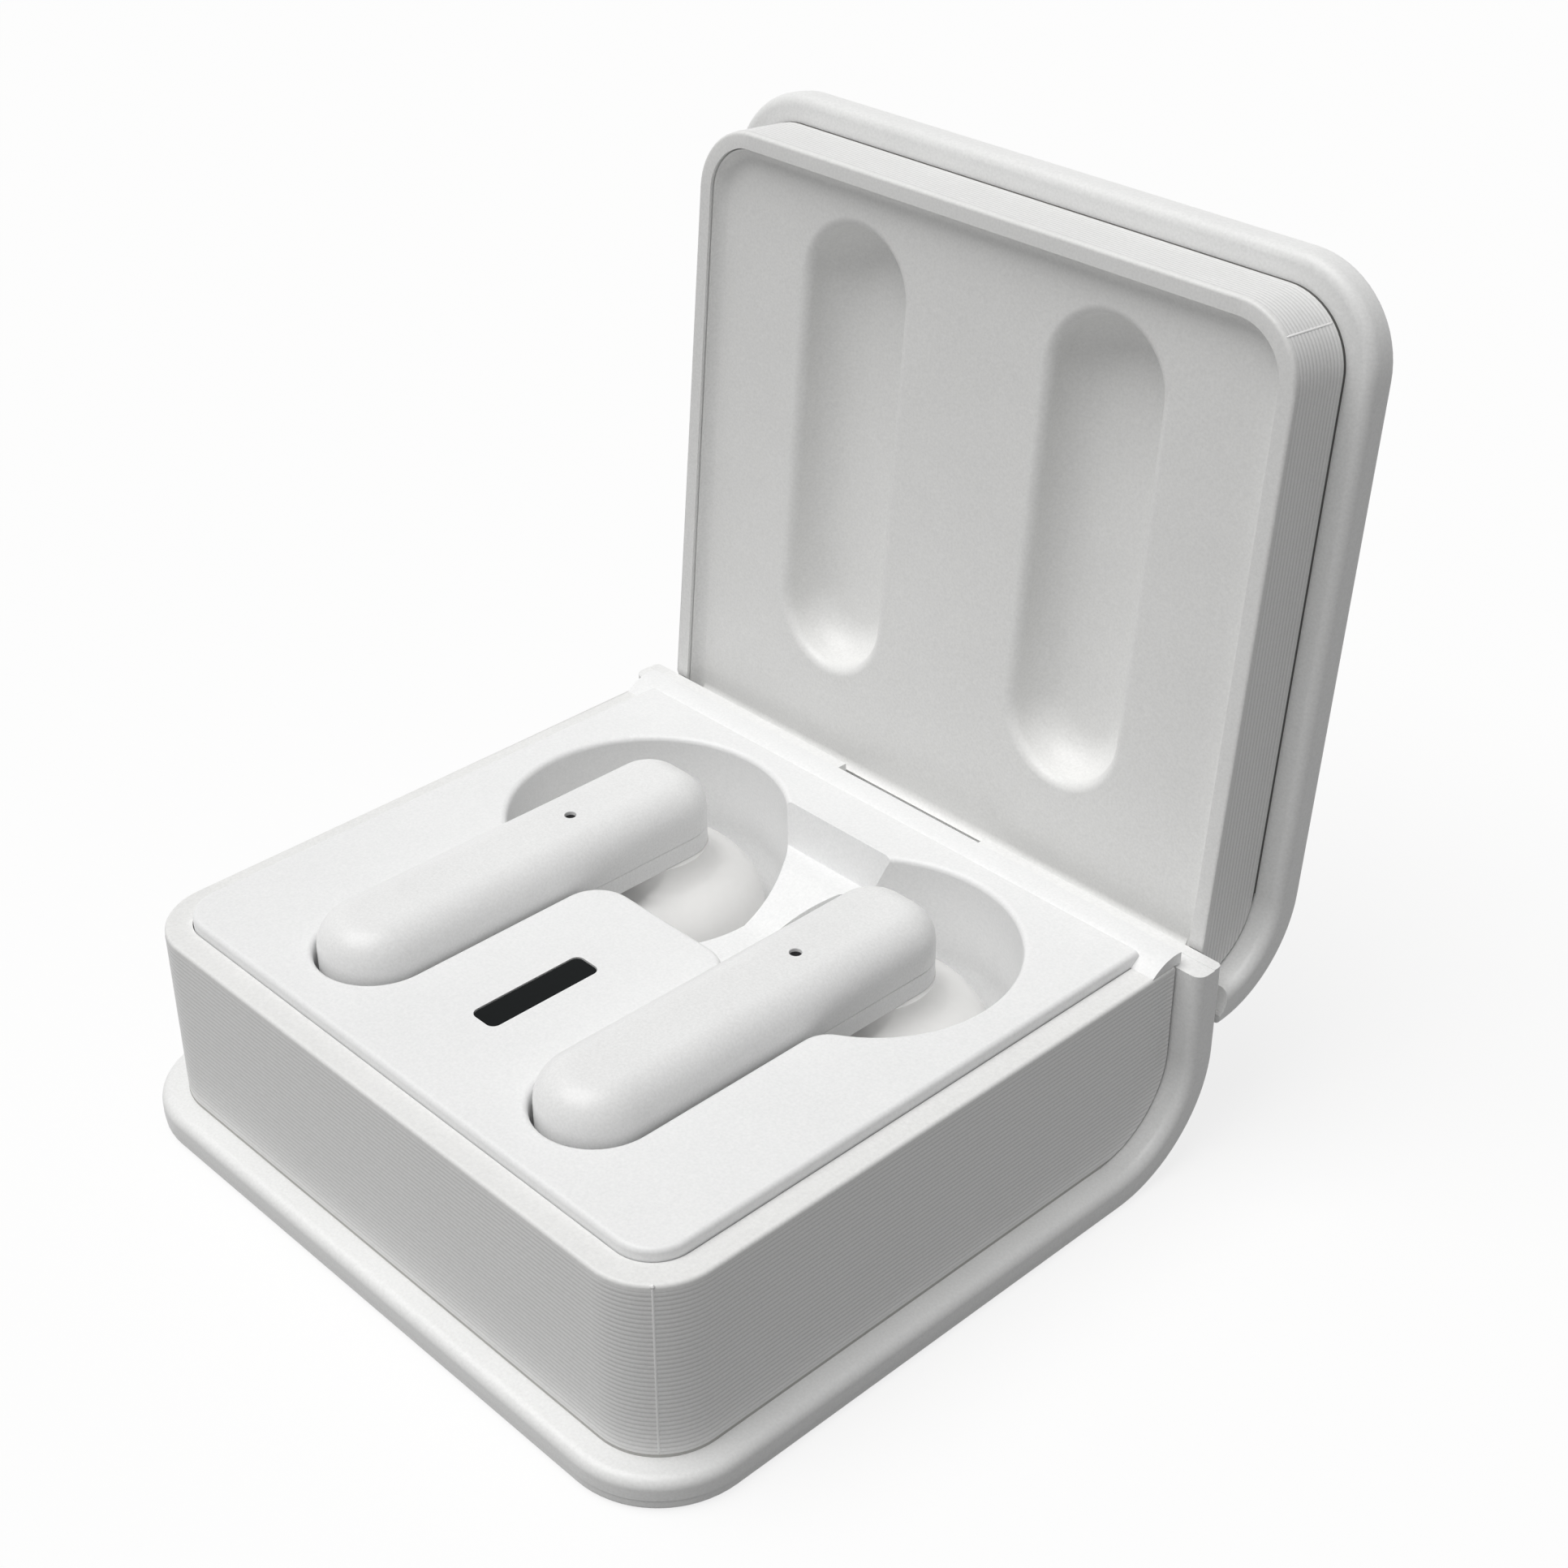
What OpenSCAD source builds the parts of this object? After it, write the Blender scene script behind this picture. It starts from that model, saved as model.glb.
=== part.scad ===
// Book-shaped charging case with a hinged lid, a tray and a pair of stem earbuds.
// X runs along the hinge, Y from the front to the spine, Z up from the surface it stands on.

/* [Page blocks] */
// Width of the page blocks
page_w = 56; // [54:0.5:64]
// Radius of the upright front corners of the page blocks
page_r = 5.2; // [4.6:0.1:6.5]
// Wall of the base page block
base_wall = 1.5; // [1.2:0.1:1.6]
// Wall of the lid page block
lid_wall = 1.25; // [1:0.05:1.5]
// Width of the lip that runs round the top of the base page block
lip_w = 2; // [1.8:0.05:2.2]
// Thickness of that lip
lip_t = 1.1; // [0.8:0.1:1.4]
// Height of one page rib with its groove
rib_pitch = 0.375; // [0.35:0.005:0.6]
// Height of the flat crest of a page rib
rib_crest = 0.2; // [0.15:0.01:0.22]
// Height of the slope on each side of a groove
rib_slope = 0.04; // [0.02:0.01:0.06]
// Depth of the grooves between the page ribs
rib_depth = 0.07; // [0.04:0.01:0.15]
// Height of the plain band at each end of the ribs
plain_band = 0.6; // [0.4:0.1:1]
// Height of the shadow line between a page block and its cover
shadow_h = 0.2; // [0.1:0.02:0.3]
// Depth of that shadow line
shadow_d = 0.8; // [0.3:0.05:0.9]
// Space under the bowls, above the base cover
floor_gap = 0.5; // [0.4:0.1:3]
// Space over the liner's pockets, under the lid cover
lid_gap = 0.3; // [0.2:0.05:2]

/* [Covers] */
// Thickness of a cover, its outer plate included
cover_t = 2.6; // [2.4:0.1:3]
// Thickness of an outer plate
skin_t = 0.95; // [0.8:0.05:1.1]
// Radius of a cover's edge on the page side
cover_edge_r = 0.85; // [0.6:0.05:1.4]
// Radius of an outer plate's edge
plate_edge_r = 0.45; // [0.3:0.05:0.8]
// How far the covers stand out past the page blocks
overhang = 2.1; // [1.8:0.1:2.6]
// Outer radius of the curve from the base cover into the spine
base_spine_r = 9.5; // [8.5:0.1:10]
// Gap between the page blocks and the spine
spine_gap = 0.16; // [0.1:0.02:0.3]
// How far the outer plate's edge stands back at the parting line
parting_step = 0.06; // [0.04:0.01:0.2]
// Gap between a cover and its outer plate
layer_gap = 0.02; // [0.01:0.01:0.05]
// How far the base spine ends below the rim
spine_drop = 0.2; // [0.1:0.05:0.4]
// How far the lid spine ends above the rim
spine_rise = 0.58; // [0.5:0.02:0.8]
// Diameter of the cover screws' thread
screw_d = 1.4; // [1.2:0.1:1.6]
// Length of the cover screws above the cover
screw_l = 3; // [2:0.1:3.5]
// Diameter of the cover screws' heads
screw_head_d = 2.6; // [2.2:0.1:2.8]
// Height of the cover screws' heads
screw_head_h = 0.6; // [0.4:0.05:0.8]
// Gap round the cover screws
screw_gap = 0.1; // [0.05:0.01:0.15]
// Distance from the side wall to the cover screws
screw_inset = 1.9; // [1.7:0.1:2]
// Wall of the screw bosses round the screw heads' diameter
boss_wall = 0.7; // [0.5:0.05:0.9]
// Height of the screw bosses
boss_h = 5; // [4.2:0.1:6]

/* [Hinge] */
// Angle of the lid from closed to the open stop
lid_open = 95; // [90:1:100]
// Height of the hinge axis below the rim
axis_drop = 2.72; // [2.65:0.01:2.8]
// Diameter of the hinge pin
pin_d = 1.2; // [1:0.1:1.4]
// Radius of the lid knuckle
knuckle_r = 2.5; // [2.3:0.05:2.5]
// Width of the lid knuckle
knuckle_w = 14.4; // [12:0.2:16]
// Width of each hinge lug on the base
lug_w = 4; // [3:0.2:5]
// Outer radius of the hinge lugs
lug_r = 1.3; // [1.1:0.05:1.3]
// Running clearance of the pin in the knuckle
pin_run = 0.04; // [0.02:0.01:0.08]
// Radius kept clear round the hinge axis in the lid
relief_r = 3.85; // [3.8:0.01:3.9]
// Gap between the knuckle and its slot
knuckle_gap = 0.3; // [0.2:0.05:0.5]
// Gap between the tray's rear edge and what swings past it
swing_gap = 0.2; // [0.15:0.01:0.25]
// How far the tray's rear edge reaches past the hinge axis
bead_back = 0.62; // [0.3:0.02:0.65]
// Distance from the hinge axis to the arm that carries the knuckle
arm_set = 0.95; // [0.9:0.05:1.1]
// Gap between that arm and the end of the lid spine
arm_gap = 0.1; // [0.05:0.01:0.2]
// How far the arm runs up into the lid spine
arm_tie = 1; // [0.8:0.1:1.4]
// Gap between the closed lid's rim and the base's rim
rim_gap = 0.12; // [0.08:0.02:0.2]

/* [Tray] */
// How far the tray stands proud of the rim
tray_proud = 0.95; // [0.8:0.05:1]
// Thickness of the tray's top plate
tray_t = 2.45; // [2.3:0.05:2.8]
// Radius of the tray's outer edge
tray_edge_r = 0.4; // [0.2:0.05:0.6]
// Radius of the edges of the slots and bowls
rim_r = 0.45; // [0.2:0.05:0.6]
// Wall of the wells
well_wall = 0.8; // [0.7:0.05:0.9]
// Gap between the tray and the lip round it
tray_gap = 0.08; // [0.04:0.02:0.14]
// Gap between the tray and the underside of that lip
lip_gap = 0.02; // [0.01:0.01:0.05]
// Gap between an earbud's stem and the sides of its slot
slot_gap = 0.32; // [0.25:0.01:0.4]
// Gap between an earbud's stem and the floor of its slot
slot_drop = 0.25; // [0.2:0.01:0.35]
// Gap between an earbud's head and the wall of its bowl
bowl_gap = 1.8; // [1.4:0.1:1.9]
// Gap between an earbud's head and the floor of its bowl
bowl_drop = 0.5; // [0.3:0.05:0.7]
// Radius between the wall and the floor of a bowl
bowl_edge_r = 7; // [6:0.1:7.5]
// Radius of the corner where a slot runs out into its bowl
bowl_corner_r = 2.5; // [1.5:0.1:3]
// Depth of the ledge at the back of the finger channel
channel_ledge = 3.2; // [2.8:0.1:3.4]
// Depth of the floor of the finger channel
channel_depth = 5.4; // [5:0.1:5.6]
// Half depth of the finger channel, front to back
channel_half = 8.6; // [8:0.1:9]
// How far the channel's back wall leans forward at its foot
channel_lean = 0.9; // [0.4:0.1:1.2]
// Width of the ledge at the back of the finger channel
ledge_w = 2; // [1.2:0.1:2.4]
// Radius of the corners of the tongue in front of the finger channel
tongue_r = 3; // [2.4:0.1:3.2]
// Width of the display window
window_w = 2.4; // [2:0.1:4]
// Length of the display window
window_l = 9.5; // [8:0.1:11]
// Corner radius of the display window
window_r = 0.6; // [0.4:0.05:0.9]
// Thickness of the display window
window_t = 0.8; // [0.6:0.1:1]
// Distance from the page block's front face to the window
window_y = 9.7; // [9:0.1:11]
// Gap round the display window
window_gap = 0.05; // [0.03:0.01:0.08]
// Width of the seat under the display window
window_seat = 0.3; // [0.2:0.05:0.4]

/* [Earbuds] */
// Distance of each earbud from the middle of the case
bud_x = 12; // [11.8:0.05:12.4]
// Length of a stem
stem_l = 33.8; // [31:0.1:38]
// Width of a stem
stem_w = 8.4; // [8:0.1:8.8]
// Height of a stem
stem_h = 5.55; // [5.5:0.05:5.8]
// Height of the stem's lower shell
stem_low_h = 1.6; // [1.4:0.1:1.8]
// Gap of the seam between a stem's two shells
stem_seam = 0.02; // [0.01:0.01:0.05]
// Radius of the soft top edge of a stem
stem_edge_r = 2.6; // [2.2:0.1:2.8]
// Corner radius of a stem's rear end, seen from above
stem_rear_r = 3.4; // [3:0.1:3.8]
// How far a stem stands proud of the tray
stem_proud = 2.9; // [2.7:0.05:2.9]
// Distance from the page block's front face to the stem
stem_margin = 5.6; // [5.2:0.1:5.8]
// Distance from the stem's rear end to the page block's rear face
rear_margin = 10; // [9.8:0.1:13]
// Distance from the stem's rear end to the middle of the head
head_back = 4.2; // [4:0.1:4.6]
// Radius of the head
head_r = 8.9; // [8.6:0.1:9.2]
// Height of the head, its neck apart
head_h = 9.4; // [9:0.1:9.5]
// Radius of the neck where it meets the stem
neck_r = 4.6; // [4.4:0.1:5]
// Height of the neck
neck_h = 1.6; // [1.5:0.05:1.7]
// Gap that shows between the neck and the stem
neck_gap = 0.25; // [0.15:0.05:0.4]
// Wall of the earbud shells
bud_wall = 0.9; // [0.8:0.05:1]
// Gap between the stem's wall and the pieces in it
inner_gap = 0.6; // [0.4:0.05:0.8]
// Height of the battery in a stem
bud_cell_h = 1.8; // [1.4:0.1:1.8]
// Gap between that battery and the microphone
bud_cell_gap = 2.4; // [1:0.1:4]
// Height of the stem's board above the floor of the lower shell
board_rise = 0.6; // [0.5:0.05:0.7]
// Distance from the stem's rear end to its board
bud_board_back = 5; // [4:0.1:6]
// Diameter of the microphone hole
mic_d = 0.9; // [0.6:0.1:1.2]
// Distance from the stem's rear end to the microphone hole
mic_back = 11.7; // [11:0.1:13]
// Width of the microphone
mic_w = 2.8; // [2.4:0.1:3.2]
// Length of the microphone
mic_l = 3.2; // [2.6:0.1:3.6]
// Depth of the microphone's own port
mic_port = 0.4; // [0.2:0.05:0.6]
// Diameter of the speaker in the head
speaker_d = 8.6; // [8:0.1:9]
// Height of the speaker
speaker_h = 2.4; // [2:0.1:2.8]
// Height of the speaker's neck
speaker_neck = 1; // [0.8:0.1:1.2]
// Gap between the speaker and the head's shell
speaker_gap = 0.1; // [0.05:0.01:0.2]
// Diameter of the speaker's grille
grille_d = 5; // [4:0.1:6]
// Thickness of the grille
grille_t = 0.5; // [0.3:0.05:0.55]
// How far the grille lies inside the head's face
grille_set = 0.3; // [0.2:0.05:0.35]
// Gap round the grille
grille_gap = 0.05; // [0.03:0.01:0.1]

/* [Electronics] */
// Width of the case battery
cell_w = 36; // [30:0.5:38]
// Gap between the case battery and the bowls
cell_gap = 2.5; // [1.5:0.1:4]
// Height of the case battery
cell_h = 6; // [4:0.1:6.5]
// Thickness of the circuit boards
board_t = 0.8; // [0.6:0.1:1]
// Width of the main board
board_w = 12; // [10:0.2:12.4]
// Distance from the display window to the front end of the main board
board_front = 4.5; // [3.5:0.1:5]
// Gap between the main board and the finger channel
board_gap = 2.6; // [1.5:0.1:4]
// Diameter of the posts that the main board hangs from
post_d = 2; // [1.6:0.1:2.4]
// Distance from the main board's edges to the middle of those posts
post_inset = 1.3; // [1.2:0.1:1.5]
// Height of the display block on the main board
display_h = 3.2; // [2.8:0.1:3.4]
// How far the display block reaches past the window at each side
display_side = 1.5; // [1:0.1:1.8]
// How far the display block reaches past the window at each end
display_end = 0.8; // [0.5:0.1:1.2]
// Width of the controller chip
chip_w = 4; // [3:0.1:5]
// Height of the controller chip
chip_h = 1; // [0.8:0.1:1.2]
// Width of the charging chip
charger_w = 3; // [2:0.1:3.4]
// Height of the charging chip
charger_h = 0.8; // [0.6:0.1:1]
// Width of the coil
coil_w = 2.4; // [2:0.1:3]
// Height of the coil
coil_h = 1.2; // [1:0.1:1.4]
// Length of a capacitor
cap_l = 1; // [0.8:0.1:1.6]
// Width and height of a capacitor
cap_w = 0.6; // [0.4:0.1:0.8]
// Distance from one capacitor to the next
cap_pitch = 2.4; // [2:0.1:3]
// Number of small capacitors in the row
cap_count = 4; // [2:1:4]
// Distance of the chip and the capacitors from the ends of the main board
part_inset = 3.25; // [2:0.05:3.5]
// Distance of the charging chip and the coil from the middle of the main board
part_side = 2.6; // [2.2:0.1:3.4]
// Width of the charging socket's shell
usb_w = 8.94; // [8.8:0.02:9]
// Height of the charging socket's shell
usb_h = 3.26; // [3.2:0.02:3.3]
// Length of the charging socket's shell
usb_l = 7.3; // [6.5:0.1:7.5]
// Sheet of the charging socket's shell
usb_shell = 0.3; // [0.25:0.01:0.35]
// How far the charging socket lies inside the spine's face
usb_recess = 0.15; // [0.1:0.01:0.3]
// Thickness of the charging socket's back
usb_back_t = 1; // [0.8:0.1:1.4]
// Thickness of the charging socket's tongue
usb_tongue_t = 0.7; // [0.6:0.02:0.8]
// Distance from the shell's sides to the tongue
usb_tongue_side = 1.1; // [0.9:0.05:1.3]
// How far the tongue ends behind the socket's mouth
usb_tongue_set = 0.9; // [0.6:0.05:1.2]
// Height of the charging socket's middle above the ground
usb_z = 8; // [7.8:0.1:8.4]
// Distance from the page block's rear face to the socket's board
usb_set = 2; // [1.6:0.1:2.4]
// Length of the socket's board
usb_board_l = 4.3; // [4:0.1:4.6]
// Gap round the charging socket
usb_gap = 0.18; // [0.1:0.02:0.25]
// Diameter of the spring contacts
contact_d = 1; // [0.8:0.05:1.1]
// Running gap of the spring contacts
contact_run = 0.05; // [0.03:0.01:0.08]
// Gap between a raised spring contact and the earbud
contact_gap = 0.05; // [0.03:0.01:0.1]
// Diameter of the collar on a spring contact
collar_d = 1.7; // [1.5:0.05:1.8]
// Height of that collar
collar_h = 0.6; // [0.5:0.05:0.7]
// Gap between that collar and the slot's floor above it
collar_seat = 0.02; // [0.01:0.01:0.05]
// Travel of the spring contacts
contact_travel = 0.8; // [0.6:0.05:0.9]
// Distance between the two spring contacts under an earbud
contact_pitch = 4; // [3:0.1:4.4]
// Distance from the stem's front end to the first spring contact
contact_front = 4.5; // [4:0.1:5]
// Wall of a spring under a contact
spring_t = 0.25; // [0.15:0.05:0.35]
// Gap over a pressed spring
spring_gap = 0.1; // [0.05:0.01:0.15]
// Gap round an earbud's own contact
pad_gap = 0.03; // [0.02:0.01:0.05]
// Height of the contact blocks
block_h = 3.4; // [3.2:0.1:3.6]
// Wall of a contact block at its sides
block_side = 1.5; // [1:0.1:1.8]
// Wall of a contact block at its ends
block_end = 1; // [0.8:0.1:1.2]
// Floor of a contact block
block_floor = 0.5; // [0.4:0.05:0.6]
// Diameter of the magnets that hold the earbuds
bud_magnet_d = 4; // [3:0.25:4.5]
// Height of the magnets that hold the earbuds
bud_magnet_h = 1.8; // [1:0.1:2]
// Width of the magnets that hold the lid shut
lid_magnet_w = 9; // [6:0.5:10]
// Depth of the magnets that hold the lid shut
lid_magnet_d = 2.2; // [1.6:0.1:2.4]
// Height of the magnets that hold the lid shut
lid_magnet_h = 1.8; // [1.2:0.1:2]
// Distance of those magnets from the lip
magnet_set = 0.4; // [0.3:0.05:0.6]

/* [Lid liner] */
// How far the liner lies behind the lid's rim
liner_recess = 1.3; // [1.2:0.05:1.5]
// Thickness of the liner
liner_t = 0.9; // [0.8:0.05:1]
// Radius of the hollow between the liner and the lid's wall
cove_r = 0.9; // [0.6:0.05:1]
// Gap between a stem and its pocket in the liner, at the sides and the rear
pocket_gap = 0.65; // [0.5:0.05:0.8]
// Gap between a stem and the front of its pocket, where the lid swings past it
pocket_swing = 0.9; // [0.7:0.05:1.1]
// Gap between a stem and the bottom of its pocket
pocket_rise = 1; // [0.25:0.05:1.2]
// Wall of a pocket
pocket_wall = 0.45; // [0.4:0.05:0.6]
// Radius between the walls and the bottom of a pocket
pocket_edge_r = 2.7; // [2.2:0.1:2.8]
// Radius of a pocket's mouth
mouth_r = 0.8; // [0.4:0.05:0.85]

/* [Hidden] */
$fn = 64;
eps = 0.01;
over = 1;

shell_white = "white";
bud_white = "ivory";
steel = "silver";
gold = "gold";
board_green = "darkgreen";
dark = [0.1, 0.1, 0.11];

// Sizes of the case that follow from what lies in it
page_d = stem_margin + stem_l + rear_margin;
base_h = floor_gap + well_wall + bowl_drop + head_h + neck_h + stem_h - stem_proud - tray_proud;
lid_h = tray_proud + stem_proud + pocket_rise + pocket_wall + lid_gap;

// Levels and planes of the case
front_y = -page_d / 2;
rear_y = page_d / 2;
rim_z = cover_t + base_h;
tray_z = rim_z + tray_proud;
lip_z = rim_z - lip_t;
plate_z = lip_z - lip_gap;
spine_in = rear_y + spine_gap;
spine_out = spine_in + cover_t;
cover_w = page_w + 2 * overhang;
cover_r = page_r + overhang;
axis_y = spine_out - axis_drop;
axis_z = rim_z - axis_drop;
lid_top_z = rim_z + lid_h + cover_t;
lid_spine_r = lid_h + cover_t;
liner_z = rim_z + liner_recess;
bend_y = spine_out - base_spine_r;
reach = 2 * page_d;

// Earbud places
stem_y0 = front_y + stem_margin;
stem_y1 = stem_y0 + stem_l;
stem_top_z = tray_z + stem_proud;
stem_z = stem_top_z - stem_h;
stem_part_z = stem_z + stem_low_h;
head_y = stem_y1 - head_back;
head_z = stem_z - neck_h - head_h;
head_edge_r = head_h / 2;
mic_y = stem_y1 - mic_back;
bud_board_z = stem_z + bud_wall + board_rise;
slot_z = stem_z - slot_drop;
slot_w = stem_w / 2 + slot_gap;
bowl_r = head_r + bowl_gap;
bowl_z = head_z - bowl_drop;

// Inside the case
floor_under = slot_z - well_wall;
board_z = plate_z - (tray_t - tray_proud - lip_t) - display_h - board_t;
board_y0 = front_y + window_y - board_front;
board_y1 = head_y - channel_half - well_wall - board_gap;
window_mid = front_y + window_y + window_l / 2;
contact_ys = [stem_y0 + contact_front, stem_y0 + contact_front + contact_pitch];
block_y1 = contact_ys[1] + collar_d / 2 + block_end;
bowl_y0 = head_y - bowl_r - well_wall;
cell_y0 = front_y + page_r;
cell_y1 = bowl_y0 - cell_gap;
bud_magnet_y = (block_y1 + bowl_y0) / 2;

// Block drawn between two corners
module span(low, high) {
  translate(low)
    cube(high - low);
}

// Cylinder along X about a point of the YZ plane
module rod(y, z, r, x0, x1) {
  translate([x0, y, z])
    rotate([0, 90, 0])
      cylinder(r = r, h = x1 - x0);
}

// Outline of a page block with two round front corners, drawn in by an amount
module page_outline(inset = 0, rear = 0) {
  r = page_r - inset;
  half = page_w / 2 - inset;
  front = front_y + inset;
  back = rear_y - rear;
  translate([-half, front + r])
    square([2 * half, back - front - r]);
  translate([-half + r, front])
    square([2 * (half - r), r + over]);
  for (side = [-1, 1])
    translate([side * (half - r), front + r])
      circle(r);
}

// Sweeps a section round the front and the two sides of a page block, back to a given line.
// The section's X starts at the middle of the round corner, and page_r is the block's face.
module along_pages(back) {
  corner_x = page_w / 2 - page_r;
  corner_y = front_y + page_r;
  for (side = [0, 1])
    mirror([side, 0, 0])
      translate([corner_x, 0, 0]) {
        translate([0, corner_y, 0])
          rotate([90, 0, 180])
            linear_extrude(back - corner_y)
              mirror([1, 0])
                children();
        translate([0, corner_y, 0])
          rotate([0, 0, -90])
            rotate_extrude(angle = 90)
              children();
      }
  translate([-corner_x, corner_y, 0])
    rotate([90, 0, 90])
      linear_extrude(2 * corner_x)
        mirror([1, 0])
          children();
}

// Outer edge of a page wall's section with its ribs, from below upwards
function rib_edge(z0, z1, count) = [
  for (z = [for (i = [0 : count - 1]) z0 + i * rib_pitch])
    each [
      [page_r, z],
      [page_r, z + rib_crest],
      [page_r - rib_depth, z + rib_crest + rib_slope],
      [page_r - rib_depth, z + rib_pitch - rib_slope]
    ],
  [page_r, z0 + count * rib_pitch],
  [page_r, z1]
];

// Ribbed wall of a page block, with an optional lip at its top
module ribbed_section(z0, z1, thick, lip) {
  bottom = z0 + plain_band;
  count = floor((z1 - plain_band - bottom) / rib_pitch);
  inside = [page_r - thick, z0];
  polygon(concat(
    [[page_r, z0]],
    rib_edge(bottom, z1, count),
    lip > 0
      ? [[page_r - lip, z1], [page_r - lip, z1 - lip_t], [page_r - thick, z1 - lip_t], inside]
      : [[page_r - thick, z1], inside]
  ));
}

// Wall of the base page block with its lip, over the shadow line where it meets the cover
module base_wall_section() {
  difference() {
    ribbed_section(cover_t, rim_z, base_wall, lip_w);
    translate([page_r - shadow_d, cover_t - over])
      square([shadow_d + over, over + shadow_h]);
  }
}

// Wall of the lid page block, under its shadow line
module lid_wall_section() {
  high = rim_z + lid_h;
  difference() {
    ribbed_section(rim_z + rim_gap, high, lid_wall, 0);
    translate([page_r - shadow_d, high - shadow_h])
      square([shadow_d + over, over + shadow_h]);
  }
}

// Half of the section of an outer plate, from a corner's centre out to its edge
module plate_half(out) {
  r = plate_edge_r;
  intersection() {
    union() {
      square([out - r, skin_t]);
      translate([0, r])
        square([out, skin_t]);
      translate([out - r, r])
        circle(r);
    }
    square([out, skin_t - layer_gap]);
  }
}

// Half of the section of a cover on its outer plate, from a corner's centre out to its edge
module cover_half(out) {
  r = cover_edge_r;
  intersection() {
    union() {
      square([out - r, cover_t]);
      square([out, cover_t - r]);
      translate([out - r, cover_t - r])
        circle(r);
    }
    translate([0, skin_t])
      square([out, cover_t - skin_t]);
  }
}

// Half of the section of one of a cover's two layers
module layer_half(out, plate) {
  if (plate)
    plate_half(out);
  else
    cover_half(out);
}

// Whole section of one layer across the case
module layer_section(half, plate) {
  for (side = [0, 1])
    mirror([side, 0])
      layer_half(half, plate);
}

// Flat leaf of one layer with its round edge, from its front edge back to a given line
module cover_leaf(half, back, plate) {
  inset = cover_w / 2 - half;
  r = cover_r - inset;
  x = half - r;
  y = front_y - overhang + inset + r;
  translate([0, back, 0])
    rotate([90, 0, 0])
      linear_extrude(back - y)
        layer_section(half, plate);
  for (side = [0, 1])
    mirror([side, 0, 0])
      translate([x, y, 0])
        rotate([0, 0, -90])
          rotate_extrude(angle = 90)
            layer_half(r, plate);
  translate([-x, y, 0])
    rotate([90, 0, 90])
      linear_extrude(2 * x)
        mirror([1, 0])
          layer_half(r, plate);
}

// One layer of a cover with its leaf, the curve and the upright spine, lying under a page block
module bent_cover(spine_r, spine_top, plate) {
  half = cover_w / 2 - (plate ? parting_step : 0);
  bend = spine_out - spine_r;
  cover_leaf(half, bend, plate);
  translate([0, bend, spine_r])
    rotate([0, 90, 0])
      rotate_extrude(angle = 90)
        rotate([0, 0, 90])
          translate([0, -spine_r])
            layer_section(half, plate);
  if (spine_top > spine_r)
    translate([0, spine_out, spine_r])
      linear_extrude(spine_top - spine_r)
        mirror([0, 1])
          layer_section(half, plate);
}

// Turns the lid, drawn closed, to its open stop
module open_lid() {
  translate([0, axis_y, axis_z])
    rotate([-lid_open, 0, 0])
      translate([0, -axis_y, -axis_z])
        children();
}

// Space round the hinge that the lid keeps clear
module hinge_relief() {
  rod(axis_y, axis_z, relief_r, -page_w, page_w);
  span([-page_w, axis_y, axis_z], [page_w, axis_y + reach, rim_z + spine_rise]);
}

// Slot that the lid knuckle swings in
module knuckle_slot() {
  half = knuckle_w / 2 + knuckle_gap;
  low = axis_z - knuckle_r - 2 * knuckle_gap;
  span([-half, axis_y - knuckle_r - knuckle_gap, low], [half, axis_y + reach, rim_z + eps]);
}

// Rounded opening for the charging socket, along Y
module usb_hole(gap) {
  r = usb_h / 2 + gap;
  for (side = [-1, 1])
    translate([side * (usb_w / 2 - usb_h / 2), rear_y - reach / 4, usb_z])
      rotate([-90, 0, 0])
        cylinder(r = r, h = reach);
  span([-usb_w / 2 + usb_h / 2, rear_y - reach / 4, usb_z - r],
       [usb_w / 2 - usb_h / 2, rear_y + reach, usb_z + r]);
}

// Places of the cover screws
module at_screws() {
  for (side = [-1, 1])
    for (y = [cell_y0, cell_y1])
      translate([side * (page_w / 2 - base_wall - screw_inset), y, 0])
        children();
}

// Base

module base_outer_plate() {
  color(shell_white)
    difference() {
      bent_cover(base_spine_r, rim_z - spine_drop, true);
      knuckle_slot();
      usb_hole(usb_gap);
    }
}

module base_cover() {
  lug_room = lug_r + spine_gap;
  lug_end = knuckle_w / 2 + lug_w + 2 * knuckle_gap;
  board_end = rear_y - usb_set;
  color(shell_white)
    difference() {
      union() {
        bent_cover(base_spine_r, rim_z - spine_drop, false);
        intersection() {
          span([-usb_w / 2, board_end - usb_board_l, skin_t],
               [usb_w / 2, board_end, usb_z - usb_h / 2 - board_t]);
          rod(bend_y, base_spine_r, base_spine_r - (skin_t + cover_t) / 2, -usb_w, usb_w);
        }
      }
      knuckle_slot();
      usb_hole(usb_gap);
      span([-lug_end, rear_y, axis_z - lug_room], [lug_end, spine_out - skin_t + eps, axis_z + lug_room]);
      at_screws() {
        cylinder(d = screw_d + 2 * screw_gap, h = 2 * cover_t);
        translate([0, 0, skin_t - eps])
          cylinder(d = screw_head_d + 2 * screw_gap, h = screw_head_h + eps);
      }
    }
}

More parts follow.
